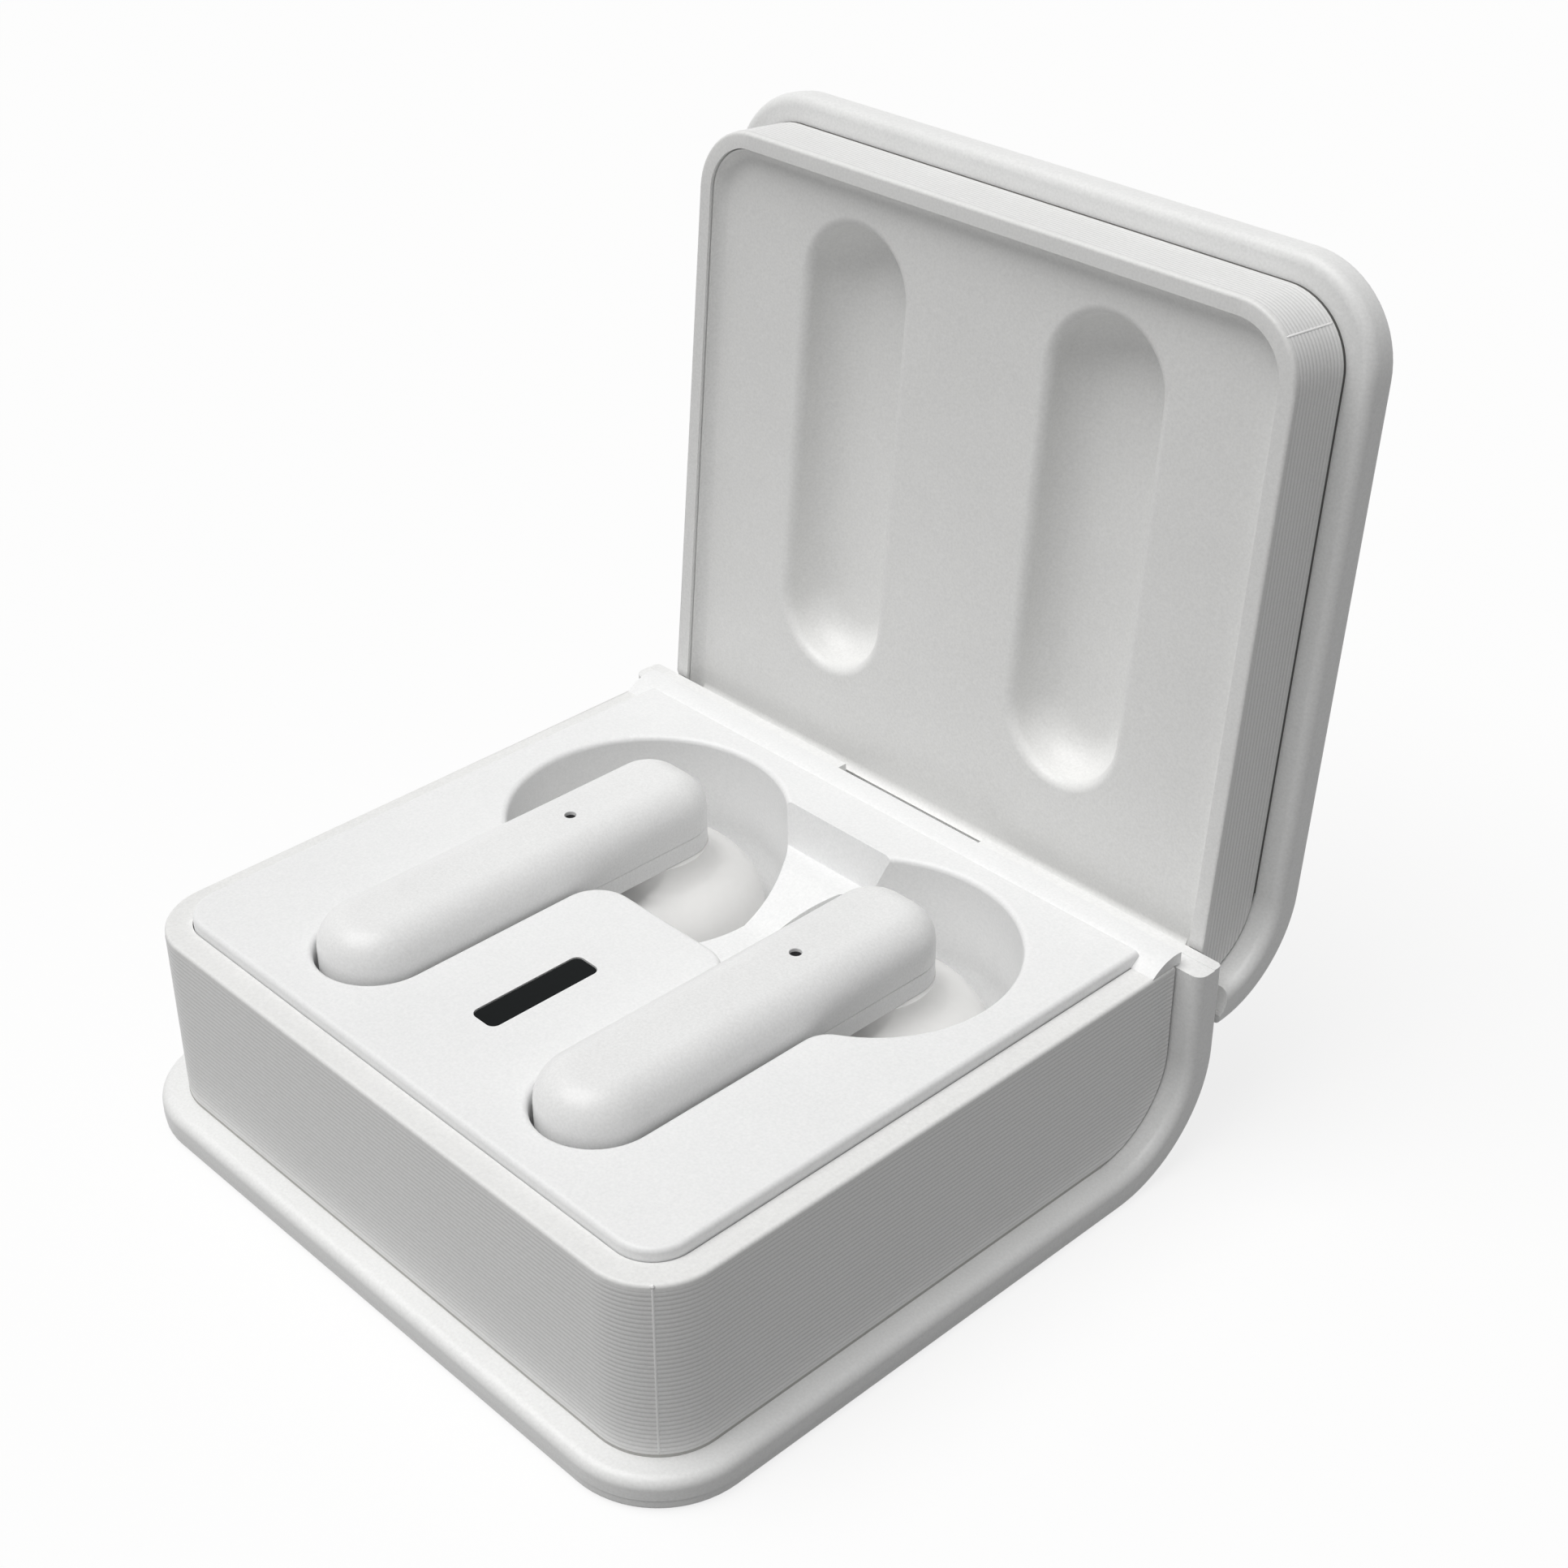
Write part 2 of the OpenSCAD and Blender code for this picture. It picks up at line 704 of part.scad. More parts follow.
module base_page_block() {
  lug_mid = (knuckle_w + lug_w) / 2 + knuckle_gap;
  half = page_w / 2 - base_wall / 2;
  color(shell_white)
    difference() {
      union() {
        along_pages(rear_y)
          base_wall_section();
        span([-half, rear_y - base_wall, cover_t], [half, rear_y, rim_z]);
        for (side = [-1, 1])
          rod(axis_y, axis_z, lug_r, side * lug_mid - lug_w / 2, side * lug_mid + lug_w / 2);
        at_screws()
          translate([0, 0, cover_t])
            cylinder(d = screw_head_d + 2 * boss_wall, h = boss_h);
      }
      knuckle_slot();
      usb_hole(usb_gap);
      rod(axis_y, axis_z, pin_d / 2, -page_w / 4, page_w / 4);
      at_screws()
        translate([0, 0, cover_t - eps])
          cylinder(d = screw_d, h = screw_l + over);
      difference() {
        span([-page_w, bend_y, cover_t - over], [page_w, rear_y + cover_t, base_spine_r]);
        rod(bend_y, base_spine_r, base_spine_r - cover_t - spine_gap, -2 * page_w, 2 * page_w);
        span([-2 * page_w, bend_y - over, base_spine_r - eps], [2 * page_w, rear_y + cover_t, rim_z]);
      }
    }
}

// Outline of one earbud's stem seen from above, grown by a gap
module stem_outline(gap) {
  w = stem_w / 2 + gap;
  front = stem_y0 - gap;
  back = stem_y1 + gap;
  rear_r = stem_rear_r + gap;
  translate([0, front + w])
    circle(w);
  translate([-w, front + w])
    square([2 * w, back - rear_r - front - w]);
  translate([-w + rear_r, back - rear_r - over])
    square([2 * (w - rear_r), rear_r + over]);
  for (side = [-1, 1])
    translate([side * (w - rear_r), back - rear_r])
      circle(rear_r);
}

// What is cut away along a straight or round rim that lies at X = out
module rim_section(out) {
  difference() {
    translate([out - rim_r, tray_z - rim_r])
      square([2 * rim_r, rim_r + over]);
    translate([out + rim_r, tray_z - rim_r])
      circle(rim_r);
  }
}

// Round bowl with a soft bottom edge, grown by a wall
module bowl(grow, top) {
  r = bowl_r + grow;
  edge = bowl_edge_r + grow;
  rotate_extrude()
    intersection() {
      union() {
        translate([0, bowl_z - grow + edge])
          square([r, top - bowl_z + grow - edge]);
        translate([0, bowl_z - grow])
          square([r - edge, edge + over]);
        translate([r - edge, bowl_z - grow + edge])
          circle(edge);
      }
      translate([0, bowl_z - grow])
        square([r, top - bowl_z + grow]);
    }
}

// Soft rim of a bowl on its outer side and its rear, from inside the slot round to the finger channel
module bowl_rim() {
  start = asin(slot_w / bowl_r) / 2 - 90;
  end = 180 - asin(channel_half / bowl_r) / 2;
  rotate([0, 0, start])
    rotate_extrude(angle = end - start)
      rim_section(bowl_r);
}

// What is cut away to round the corner where a slot runs out into its bowl, seen from the bowl's middle
module bowl_corner() {
  r = bowl_corner_r;
  x = slot_w + r;
  y = -sqrt(pow(bowl_r + r, 2) - pow(x, 2));
  touch = [x, y] * bowl_r / (bowl_r + r);
  difference() {
    translate([0, 0, slot_z])
      linear_extrude(reach)
        polygon([[slot_w - over, y], [x, y], touch, [slot_w - over, touch[1]]]);
    translate([x, y, 0])
      rotate_extrude()
        stem_half(r, slot_z - over, tray_z, rim_r);
  }
}

// Space of one slot with its soft rim
module slot() {
  front = stem_y0 - slot_gap + slot_w;
  translate([0, 0, slot_z])
    linear_extrude(reach)
      stem_outline(slot_gap);
  translate([0, front, 0])
    rotate([0, 0, 180])
      rotate_extrude(angle = 180)
        rim_section(slot_w);
  for (side = [0, 1])
    mirror([side, 0, 0])
      translate([0, head_y, 0])
        rotate([90, 0, 0])
          linear_extrude(head_y - front)
            rim_section(slot_w);
}

// Section of the finger channel between the bowls, or of the solid round it
module channel_section(grow, top) {
  back = head_y + channel_half + grow;
  foot = back - channel_lean;
  front = head_y - channel_half - grow;
  ledge = tray_z - channel_ledge - grow;
  low = tray_z - channel_depth - grow;
  polygon([
    [back, top], [back, tray_z], [foot, ledge], [foot - ledge_w, ledge],
    [head_y, low], [front, low], [front, top]
  ]);
}

// Space of the finger channel, with a soft edge on the tongue in front of it
module finger_channel() {
  translate([-bud_x, 0, 0])
    rotate([90, 0, 90])
      linear_extrude(2 * bud_x) {
        channel_section(0, tray_z + over);
        translate([head_y - channel_half, 0])
          mirror([1, 0])
            rim_section(0);
      }
}

// Solid under the finger channel
module channel_floor() {
  intersection() {
    translate([-bud_x, 0, 0])
      rotate([90, 0, 90])
        linear_extrude(2 * bud_x)
          channel_section(well_wall, tray_z + over);
    span([-bud_x, front_y, 0], [bud_x, rear_y, plate_z]);
  }
}

// What is cut away to round one corner of the tongue in front of the finger channel
module tongue_corner() {
  difference() {
    translate([-tongue_r, -tongue_r, slot_z])
      cube([tongue_r + eps, tongue_r + eps, reach]);
    translate([-tongue_r, -tongue_r, 0])
      rotate_extrude()
        stem_half(tongue_r, slot_z - over, tray_z, rim_r);
  }
}

// What is cut away to round the tray's outer edge
module tray_edge() {
  out = page_r - lip_w - tray_gap;
  along_pages(rear_y - base_wall - tray_gap)
    difference() {
      translate([out - tray_edge_r, tray_z - tray_edge_r])
        square([tray_edge_r + tray_gap / 2, tray_edge_r + over]);
      translate([out - tray_edge_r, tray_z - tray_edge_r])
        circle(tray_edge_r);
    }
}

// Rear edge of the tray, round about the hinge axis
module tray_bead() {
  half = page_w / 2 - tray_gap;
  intersection() {
    rod(axis_y, axis_z, relief_r - swing_gap, -half, half);
    span([-half, axis_y - relief_r, rim_z], [half, axis_y + bead_back, tray_z]);
  }
}

module tray() {
  plate_low = tray_z - tray_t;
  slot_half = knuckle_w / 2 + knuckle_gap;
  color(shell_white)
    difference() {
      union() {
        translate([0, 0, plate_low])
          linear_extrude(tray_t)
            page_outline(lip_w + tray_gap, base_wall + tray_gap);
        translate([0, 0, plate_low])
          linear_extrude(plate_z - plate_low)
            page_outline(base_wall + tray_gap, base_wall + tray_gap);
        tray_bead();
        for (side = [-1, 1])
          translate([side * bud_x, 0, 0]) {
            translate([0, 0, floor_under])
              linear_extrude(plate_z - floor_under)
                intersection() {
                  stem_outline(slot_gap + well_wall);
                  translate([-page_w, head_y - reach])
                    square([2 * page_w, reach]);
                }
            translate([0, head_y, 0])
              bowl(well_wall, plate_z);
          }
        channel_floor();
        for (side = [-1, 1])
          translate([side * (board_w / 2 - post_inset), board_y0 + post_inset, board_z + board_t])
            cylinder(d = post_d, h = plate_z - board_z - board_t);
      }
      tray_edge();
      for (side = [0, 1])
        mirror([side, 0, 0]) {
          translate([bud_x, 0, 0]) {
            slot();
            translate([0, head_y, 0]) {
              bowl(0, tray_z + over);
              bowl_rim();
              bowl_corner();
            }
            for (y = contact_ys)
              translate([0, y, floor_under - over])
                cylinder(d = contact_d + 2 * contact_run, h = reach);
          }
          translate([bud_x - slot_w, head_y - channel_half, 0])
            tongue_corner();
        }
      finger_channel();
      rod(axis_y, axis_z, knuckle_r + swing_gap, -slot_half, slot_half);
      translate([0, window_mid, 0]) {
        translate([0, 0, tray_z - window_t])
          linear_extrude(reach)
            window_outline(window_gap);
        translate([0, 0, plate_low - over])
          linear_extrude(reach)
            window_outline(-window_seat);
      }
    }
}

// Rounded outline of the display window
module window_outline(grow) {
  r = window_r + grow;
  w = window_w + 2 * grow;
  l = window_l + 2 * grow;
  square([w, l - 2 * r], center = true);
  square([w - 2 * r, l], center = true);
  for (i = [-1, 1])
    for (j = [-1, 1])
      translate([i * (w / 2 - r), j * (l / 2 - r)])
        circle(r);
}

module display_window() {
  color("black")
    translate([0, window_mid, tray_z - window_t])
      linear_extrude(window_t - window_gap)
        window_outline(0);
}

module display_block() {
  color(dark)
    translate([0, window_mid, board_z + board_t + display_h / 2])
      cube([window_w + 2 * display_side, window_l + 2 * display_end, display_h], center = true);
}

module main_board() {
  color(board_green)
    span([-board_w / 2, board_y0, board_z], [board_w / 2, board_y1, board_z + board_t]);
}

// One part that hangs under the main board
module under_board(x, y, w, l, h) {
  translate([x - w / 2, y - l / 2, board_z - h])
    cube([w, l, h]);
}

module board_parts() {
  chip_y = board_y0 + part_inset + chip_w / 2;
  cap_y = board_y1 - part_inset;
  mid_y = (chip_y + chip_w / 2 + cap_y - cap_w / 2) / 2;
  color(dark) {
    under_board(0, chip_y, chip_w, chip_w, chip_h);
    under_board(-part_side, mid_y, charger_w, charger_w, charger_h);
    under_board(part_side, mid_y, coil_w, coil_w, coil_h);
    for (place = [0 : cap_count - 1])
      under_board((place - (cap_count - 1) / 2) * cap_pitch, cap_y, cap_l, cap_w, cap_w);
  }
}

module case_battery() {
  color("silver")
    span([-cell_w / 2, cell_y0, cover_t], [cell_w / 2, cell_y1, cover_t + cell_h]);
}

// Shell of the charging socket with its tongue
module usb_socket() {
  mouth = spine_out - usb_recess;
  back = mouth - usb_l;
  tongue_x = usb_w / 2 - usb_tongue_side;
  color(steel)
    difference() {
      intersection() {
        usb_hole(0);
        span([-usb_w, back, 0], [usb_w, mouth, rim_z]);
      }
      difference() {
        intersection() {
          usb_hole(-usb_shell);
          span([-usb_w, back + usb_back_t, 0], [usb_w, mouth + over, rim_z]);
        }
        span([-tongue_x, back, usb_z - usb_tongue_t / 2],
             [tongue_x, mouth - usb_tongue_set, usb_z + usb_tongue_t / 2]);
      }
    }
}

module usb_board() {
  back = rear_y - usb_set;
  top = usb_z - usb_h / 2;
  color(board_green)
    span([-usb_w / 2, back - usb_board_l, top - board_t], [usb_w / 2, back, top]);
}

// Block under a slot that carries two spring contacts
module contact_block(side) {
  w = collar_d + 2 * block_side;
  l = contact_pitch + collar_d + 2 * block_end;
  color(dark)
    difference() {
      translate([side * bud_x - w / 2, block_y1 - l, floor_under - block_h])
        cube([w, l, block_h]);
      for (y = contact_ys)
        translate([side * bud_x, y, floor_under - block_h + block_floor])
          cylinder(d = collar_d + 2 * contact_run, h = block_h);
    }
}

// One spring contact, up against the earbud
module contact(side, index) {
  low = floor_under - collar_h - collar_seat;
  color(gold)
    translate([side * bud_x, contact_ys[index], low]) {
      cylinder(d = contact_d, h = stem_z - contact_gap - low);
      cylinder(d = collar_d, h = collar_h);
    }
}

// Springs under a pair of contacts, at their shortest
module contact_springs(side) {
  h = block_h - block_floor - collar_h - contact_travel - spring_gap;
  outer_d = collar_d - 2 * contact_run;
  color(steel)
    for (y = contact_ys)
      translate([side * bud_x, y, floor_under - block_h + block_floor])
        difference() {
          cylinder(d = outer_d, h = h);
          translate([0, 0, -over])
            cylinder(d = outer_d - 2 * spring_t, h = h + 2 * over);
        }
}

module left_contact_block() { contact_block(-1); }
module right_contact_block() { contact_block(1); }
module left_contact_front() { contact(-1, 0); }
module left_contact_rear() { contact(-1, 1); }
module right_contact_front() { contact(1, 0); }
module right_contact_rear() { contact(1, 1); }
module left_contact_springs() { contact_springs(-1); }
module right_contact_springs() { contact_springs(1); }

module bud_magnets() {
  color(steel)
    for (side = [-1, 1])
      translate([side * bud_x, bud_magnet_y, floor_under - bud_magnet_h])
        cylinder(d = bud_magnet_d, h = bud_magnet_h);
}

module base_magnet() {
  color(steel)
    translate([-lid_magnet_w / 2, front_y + lip_w + magnet_set, tray_z - tray_t - lid_magnet_h])
      cube([lid_magnet_w, lid_magnet_d, lid_magnet_h]);
}

module cover_screws() {
  color(steel)
    at_screws()
      translate([0, 0, skin_t]) {
        cylinder(d = screw_head_d, h = screw_head_h);
        cylinder(d = screw_d, h = cover_t - skin_t + screw_l);
      }
}

module hinge_pin() {
  half = knuckle_w / 2 + knuckle_gap + lug_w;
  color(steel)
    rod(axis_y, axis_z, pin_d / 2, -half, half);
}

// Lid, drawn closed and turned open

// One layer of the lid's cover, lying over its page block
module lid_leaf(plate) {
  translate([0, 0, lid_top_z])
    mirror([0, 0, 1])
      bent_cover(lid_spine_r, lid_spine_r, plate);
}

module lid_outer_plate() {
  color(shell_white)
    open_lid()
      difference() {
        lid_leaf(true);
        hinge_relief();
      }
}

module lid_cover() {
  half = knuckle_w / 2;
  arm_y = axis_y + arm_set;
  spine_end = rim_z + spine_rise;
  color(shell_white)
    open_lid()
      difference() {
        union() {
          difference() {
            lid_leaf(false);
            hinge_relief();
          }
          rod(axis_y, axis_z, knuckle_r, -half, half);
          span([-half, arm_y, axis_z], [half, axis_y + knuckle_r, spine_end - arm_gap]);
          span([-half, arm_y, rim_z], [half, spine_out - skin_t - knuckle_gap, spine_end + arm_tie]);
        }
        rod(axis_y, axis_z, pin_d / 2 + pin_run, -page_w, page_w);
      }
}

module lid_page_block() {
  low = rim_z + rim_gap;
  high = rim_z + lid_h;
  half = page_w / 2 - lid_wall / 2;
  bend = spine_out - lid_spine_r;
  color(shell_white)
    open_lid()
      difference() {
        union() {
          along_pages(rear_y)
            lid_wall_section();
          span([-half, rear_y - lid_wall, low], [half, rear_y, high]);
        }
        hinge_relief();
        difference() {
          span([-page_w, bend, rim_z], [page_w, spine_out, high + over]);
          rod(bend, rim_z, lid_spine_r - cover_t - spine_gap, -2 * page_w, 2 * page_w);
        }
      }
}

// Half of a pocket's section, grown by a wall
module pocket_half(w, top, grow) {
  if (grow > 0) {
    stem_half(w, liner_z, top, pocket_edge_r);
  } else {
    stem_half(w, liner_z - over, top, pocket_edge_r);
    difference() {
      translate([w - mouth_r, liner_z - over])
        square([2 * mouth_r, mouth_r + over]);
      translate([w + mouth_r, liner_z + mouth_r])
        circle(mouth_r);
    }
  }
}

// Pocket over one stem, rounded at its mouth and its bottom edge, grown by a wall
module pocket(grow) {
  top = stem_top_z + pocket_rise + grow;
  w = stem_w / 2 + pocket_gap + grow;
  y0 = stem_y0 - pocket_swing - grow + w;
  run = stem_y1 + pocket_gap + grow - w - y0;
  for (end = [0, 1])
    translate([0, y0 + end * run, 0])
      rotate([0, 0, end * 180 + 180])
        rotate_extrude(angle = 180)
          pocket_half(w, top, grow);
  translate([0, y0, 0])
    rotate([90, 0, 180])
      linear_extrude(run)
        for (side = [0, 1])
          mirror([side, 0])
            pocket_half(w, top, grow);
}

// Section of the liner's edge for a wall at X = out, with the hollow that runs up to the wall
module liner_edge(out) {
  translate([0, liner_z])
    square([out, liner_t]);
  difference() {
    translate([out - cove_r, liner_z - cove_r])
      square([cove_r, cove_r + eps]);
    translate([out - cove_r, liner_z - cove_r])
      circle(cove_r);
  }
}

module lid_liner() {
  inset = lid_wall + tray_gap;
  corner_x = page_w / 2 - page_r;
  corner_y = front_y + page_r;
  back = rear_y - inset;
  rear_half = page_w / 2 - inset - cove_r;
  color(shell_white)
    open_lid()
      difference() {
        union() {
          along_pages(back)
            liner_edge(page_r - inset);
          span([-corner_x, corner_y, liner_z], [corner_x, back, liner_z + liner_t]);
          translate([-rear_half, back - cove_r, 0])
            rotate([90, 0, 90])
              linear_extrude(2 * rear_half)
                liner_edge(cove_r);
          for (side = [-1, 1])
            translate([side * bud_x, 0, 0])
              pocket(pocket_wall);
        }
        for (side = [-1, 1])
          translate([side * bud_x, 0, 0])
            pocket(0);
        hinge_relief();
      }
}

module lid_magnet() {
  color(steel)
    open_lid()
      translate([-lid_magnet_w / 2, front_y + lip_w + magnet_set, liner_z + liner_t])
        cube([lid_magnet_w, lid_magnet_d, lid_magnet_h]);
}

// Earbuds, drawn for the right-hand place and mirrored for the left

// Half of a stem's section from its middle plane out, with the soft top edge
module stem_half(w, low, top, edge) {
  translate([0, low])
    square([w, top - edge - low]);
  translate([0, low])
    square([w - edge, top - low]);
  intersection() {
    translate([w - edge, top - edge])
      circle(edge);
    translate([0, low])
      square([w, top - low]);
  }
}

// Upper part of a stem, drawn in by a wall
module stem_body(inset, low, top) {
  w = stem_w / 2 - inset;
  edge = stem_edge_r - inset;
  rear = stem_rear_r - inset;
  y0 = stem_y0 + inset + w;
  y1 = stem_y1 - inset - rear;
  translate([0, y0, 0])
    rotate([0, 0, 180])
      rotate_extrude(angle = 180)
        stem_half(w, low, top, edge);
  translate([0, y1, 0])
    rotate([90, 0, 0])
      linear_extrude(y1 - y0)
        for (side = [0, 1])
          mirror([side, 0])
            stem_half(w, low, top, edge);
  for (side = [0, 1])
    mirror([side, 0, 0])
      translate([w - rear, y1, 0])
        rotate_extrude(angle = 90)
          stem_half(rear, low, top, edge);
  translate([-w + rear, y1, 0])
    rotate([90, 0, 90])
      linear_extrude(2 * (w - rear))
        stem_half(rear, low, top, edge);
}

// Places a right-hand earbud piece on the right or mirrored on the left
module on_side(side) {
  mirror([side < 0 ? 1 : 0, 0, 0])
    translate([bud_x, 0, 0])
      children();
}

module stem_top(side) {
  color(bud_white)
    on_side(side)
      difference() {
        stem_body(0, stem_part_z + stem_seam, stem_top_z);
        stem_body(bud_wall, stem_part_z - over, stem_top_z - bud_wall);
        translate([0, mic_y, stem_part_z])
          cylinder(d = mic_d, h = stem_h);
      }
}

module stem_bottom(side) {
  color(bud_white)
    on_side(side)
      difference() {
        translate([0, 0, stem_z])
          linear_extrude(stem_low_h)
            stem_outline(0);
        translate([0, 0, stem_z + bud_wall])
          linear_extrude(stem_low_h)
            stem_outline(-bud_wall);
        for (y = contact_ys)
          translate([0, y, stem_z - over])
            cylinder(d = collar_d, h = stem_h);
      }
}

// Half of a head's section with its hollow neck, drawn in by a wall.
// The neck is an arc that touches the round head and ends upright under the stem.
module head_half(inset) {
  bulb_x = head_r - head_edge_r;
  bulb_z = head_z + head_edge_r;
  top = stem_z - neck_gap;
  rise = top - bulb_z;
  spread = neck_r - bulb_x;
  arc_r = (pow(rise, 2) + pow(spread, 2) - pow(head_edge_r, 2)) / (2 * (head_edge_r - spread));
  intersection() {
    union() {
      translate([bulb_x, bulb_z])
        circle(head_edge_r - inset);
      translate([0, head_z + inset])
        square([bulb_x, rise]);
      difference() {
        polygon([[0, bulb_z], [bulb_x, bulb_z], [neck_r + arc_r, top], [0, top]]);
        translate([neck_r + arc_r, top])
          circle(arc_r + inset);
      }
    }
    translate([0, head_z + inset])
      square([head_r, top - head_z - 2 * inset]);
  }
}

module head(side) {
  color(bud_white)
    on_side(side)
      translate([0, head_y, 0])
        difference() {
          union() {
            rotate_extrude()
              head_half(0);
            translate([0, 0, stem_z - neck_h])
              cylinder(r = neck_r - 2 * bud_wall, h = neck_h);
          }
          rotate_extrude()
            head_half(bud_wall);
          translate([0, 0, head_z - over])
            cylinder(d = grille_d + 2 * grille_gap, h = bud_wall + 2 * over);
        }
}

module grille(side) {
  color(dark)
    on_side(side)
      translate([0, head_y, head_z + grille_set])
        cylinder(d = grille_d, h = grille_t);
}

module speaker(side) {
  color(steel)
    on_side(side)
      translate([0, head_y, head_z + bud_wall + speaker_gap]) {
        cylinder(d = grille_d, h = speaker_neck);
        translate([0, 0, speaker_neck])
          cylinder(d = speaker_d, h = speaker_h);
      }
}

// Plain block in a stem, as wide as the stem's inside allows
module stem_insert(y0, y1, z0, z1) {
  half = stem_w / 2 - bud_wall - inner_gap;
  span([-half, y0, z0], [half, y1, z1]);
}

module bud_battery(side) {
  low = bud_board_z + board_t;
  color(steel)
    on_side(side)
      stem_insert(stem_y0 + stem_w / 2, mic_y - mic_l / 2 - bud_cell_gap, low, low + bud_cell_h);
}

module bud_board(side) {
  color(board_green)
    on_side(side)
      stem_insert(stem_y0 + stem_w / 2, stem_y1 - bud_board_back, bud_board_z, bud_board_z + board_t);
}

module microphone(side) {
  top = stem_top_z - bud_wall;
  color(dark)
    on_side(side)
      difference() {
        span([-mic_w / 2, mic_y - mic_l / 2, bud_board_z + board_t], [mic_w / 2, mic_y + mic_l / 2, top]);
        translate([0, mic_y, top - mic_port])
          cylinder(d = mic_d, h = mic_port + over);
      }
}

module bud_contacts(side) {
  color(gold)
    on_side(side)
      for (y = contact_ys)
        translate([0, y, stem_z])
          cylinder(d = collar_d - 2 * pad_gap, h = bud_board_z - stem_z);
}

module bud_magnet(side) {
  color(steel)
    on_side(side)
      translate([0, bud_magnet_y, stem_z + bud_wall])
        cylinder(d = bud_magnet_d, h = board_rise);
}

module left_stem_top() { stem_top(-1); }
module left_stem_bottom() { stem_bottom(-1); }
module left_head() { head(-1); }
module left_grille() { grille(-1); }
module left_speaker() { speaker(-1); }
module left_bud_battery() { bud_battery(-1); }
module left_bud_board() { bud_board(-1); }
module left_microphone() { microphone(-1); }
module left_bud_contacts() { bud_contacts(-1); }
module left_bud_magnet() { bud_magnet(-1); }
module right_stem_top() { stem_top(1); }
module right_stem_bottom() { stem_bottom(1); }
module right_head() { head(1); }
module right_grille() { grille(1); }
module right_speaker() { speaker(1); }
module right_bud_battery() { bud_battery(1); }
module right_bud_board() { bud_board(1); }
module right_microphone() { microphone(1); }
module right_bud_contacts() { bud_contacts(1); }
module right_bud_magnet() { bud_magnet(1); }

base_outer_plate();
base_cover();
base_page_block();
tray();
display_window();
display_block();
main_board();
board_parts();
case_battery();
usb_socket();
usb_board();
left_contact_block();
right_contact_block();
left_contact_front();
left_contact_rear();
right_contact_front();
right_contact_rear();
left_contact_springs();
right_contact_springs();
bud_magnets();
base_magnet();
cover_screws();
hinge_pin();
lid_outer_plate();
lid_cover();
lid_page_block();
lid_liner();
lid_magnet();
left_stem_top();
left_stem_bottom();
left_head();
left_grille();
left_speaker();
left_bud_battery();
left_bud_board();
left_microphone();
left_bud_contacts();
left_bud_magnet();
right_stem_top();
right_stem_bottom();
right_head();
right_grille();
right_speaker();
right_bud_battery();
right_bud_board();
right_microphone();
right_bud_contacts();
right_bud_magnet();
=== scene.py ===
import math

import bmesh
import bpy
from mathutils import Matrix, Quaternion, Vector


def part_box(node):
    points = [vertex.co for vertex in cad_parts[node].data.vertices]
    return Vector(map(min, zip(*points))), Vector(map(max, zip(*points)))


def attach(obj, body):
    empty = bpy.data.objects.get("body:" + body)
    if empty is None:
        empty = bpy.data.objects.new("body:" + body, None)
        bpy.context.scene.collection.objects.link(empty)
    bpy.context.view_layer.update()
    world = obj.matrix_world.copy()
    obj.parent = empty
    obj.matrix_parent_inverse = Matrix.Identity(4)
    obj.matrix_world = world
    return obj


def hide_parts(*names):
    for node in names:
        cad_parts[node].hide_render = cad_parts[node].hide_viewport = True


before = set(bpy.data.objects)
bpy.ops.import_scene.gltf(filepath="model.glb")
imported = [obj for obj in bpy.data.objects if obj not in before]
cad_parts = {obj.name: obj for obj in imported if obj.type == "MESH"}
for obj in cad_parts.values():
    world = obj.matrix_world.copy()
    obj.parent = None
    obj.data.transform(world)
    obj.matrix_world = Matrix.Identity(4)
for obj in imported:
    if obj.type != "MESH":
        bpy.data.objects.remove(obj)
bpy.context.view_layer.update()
scene = bpy.context.scene
scene.view_settings.view_transform = "Standard"


# The camera stands in front of the case, to its right and above the open lid, as the picture was taken.
# It looks down at a little over thirty degrees, through a slightly long lens that keeps edges near straight.
MM = 0.001
eye = Vector((113.80, -95.60, 123.82)) * MM
look = Vector((13.557, 0.446, 36.345)) * MM
roll = Quaternion((0, 0, 1), math.radians(-0.149))
camera = bpy.data.objects.new("camera", bpy.data.cameras.new("camera"))
camera.data.sensor_width = 36.0
camera.data.lens = 58.68
camera.data.clip_start = 0.005
camera.data.clip_end = 20.0
camera.rotation_mode = "QUATERNION"
camera.location = eye
camera.rotation_quaternion = (look - eye).to_track_quat("-Z", "Y") @ roll
scene.collection.objects.link(camera)
scene.camera = camera


# The stage is a large sheet of white card under one wide, soft ceiling light from the front left.
# The card reads white to the eye and in reflections, keeps a faint shadow, and throws back less light.
def seen_directly(tree):
    """1 for rays that the eye, a reflection or clear plastic sends out, else 0."""
    path = tree.nodes.new("ShaderNodeLightPath")
    first = tree.nodes.new("ShaderNodeMath")
    first.operation = "MAXIMUM"
    tree.links.new(path.outputs["Is Camera Ray"], first.inputs[0])
    tree.links.new(path.outputs["Is Glossy Ray"], first.inputs[1])
    both = tree.nodes.new("ShaderNodeMath")
    both.operation = "MAXIMUM"
    tree.links.new(first.outputs[0], both.inputs[0])
    tree.links.new(path.outputs["Is Transmission Ray"], both.inputs[1])
    return both.outputs[0]


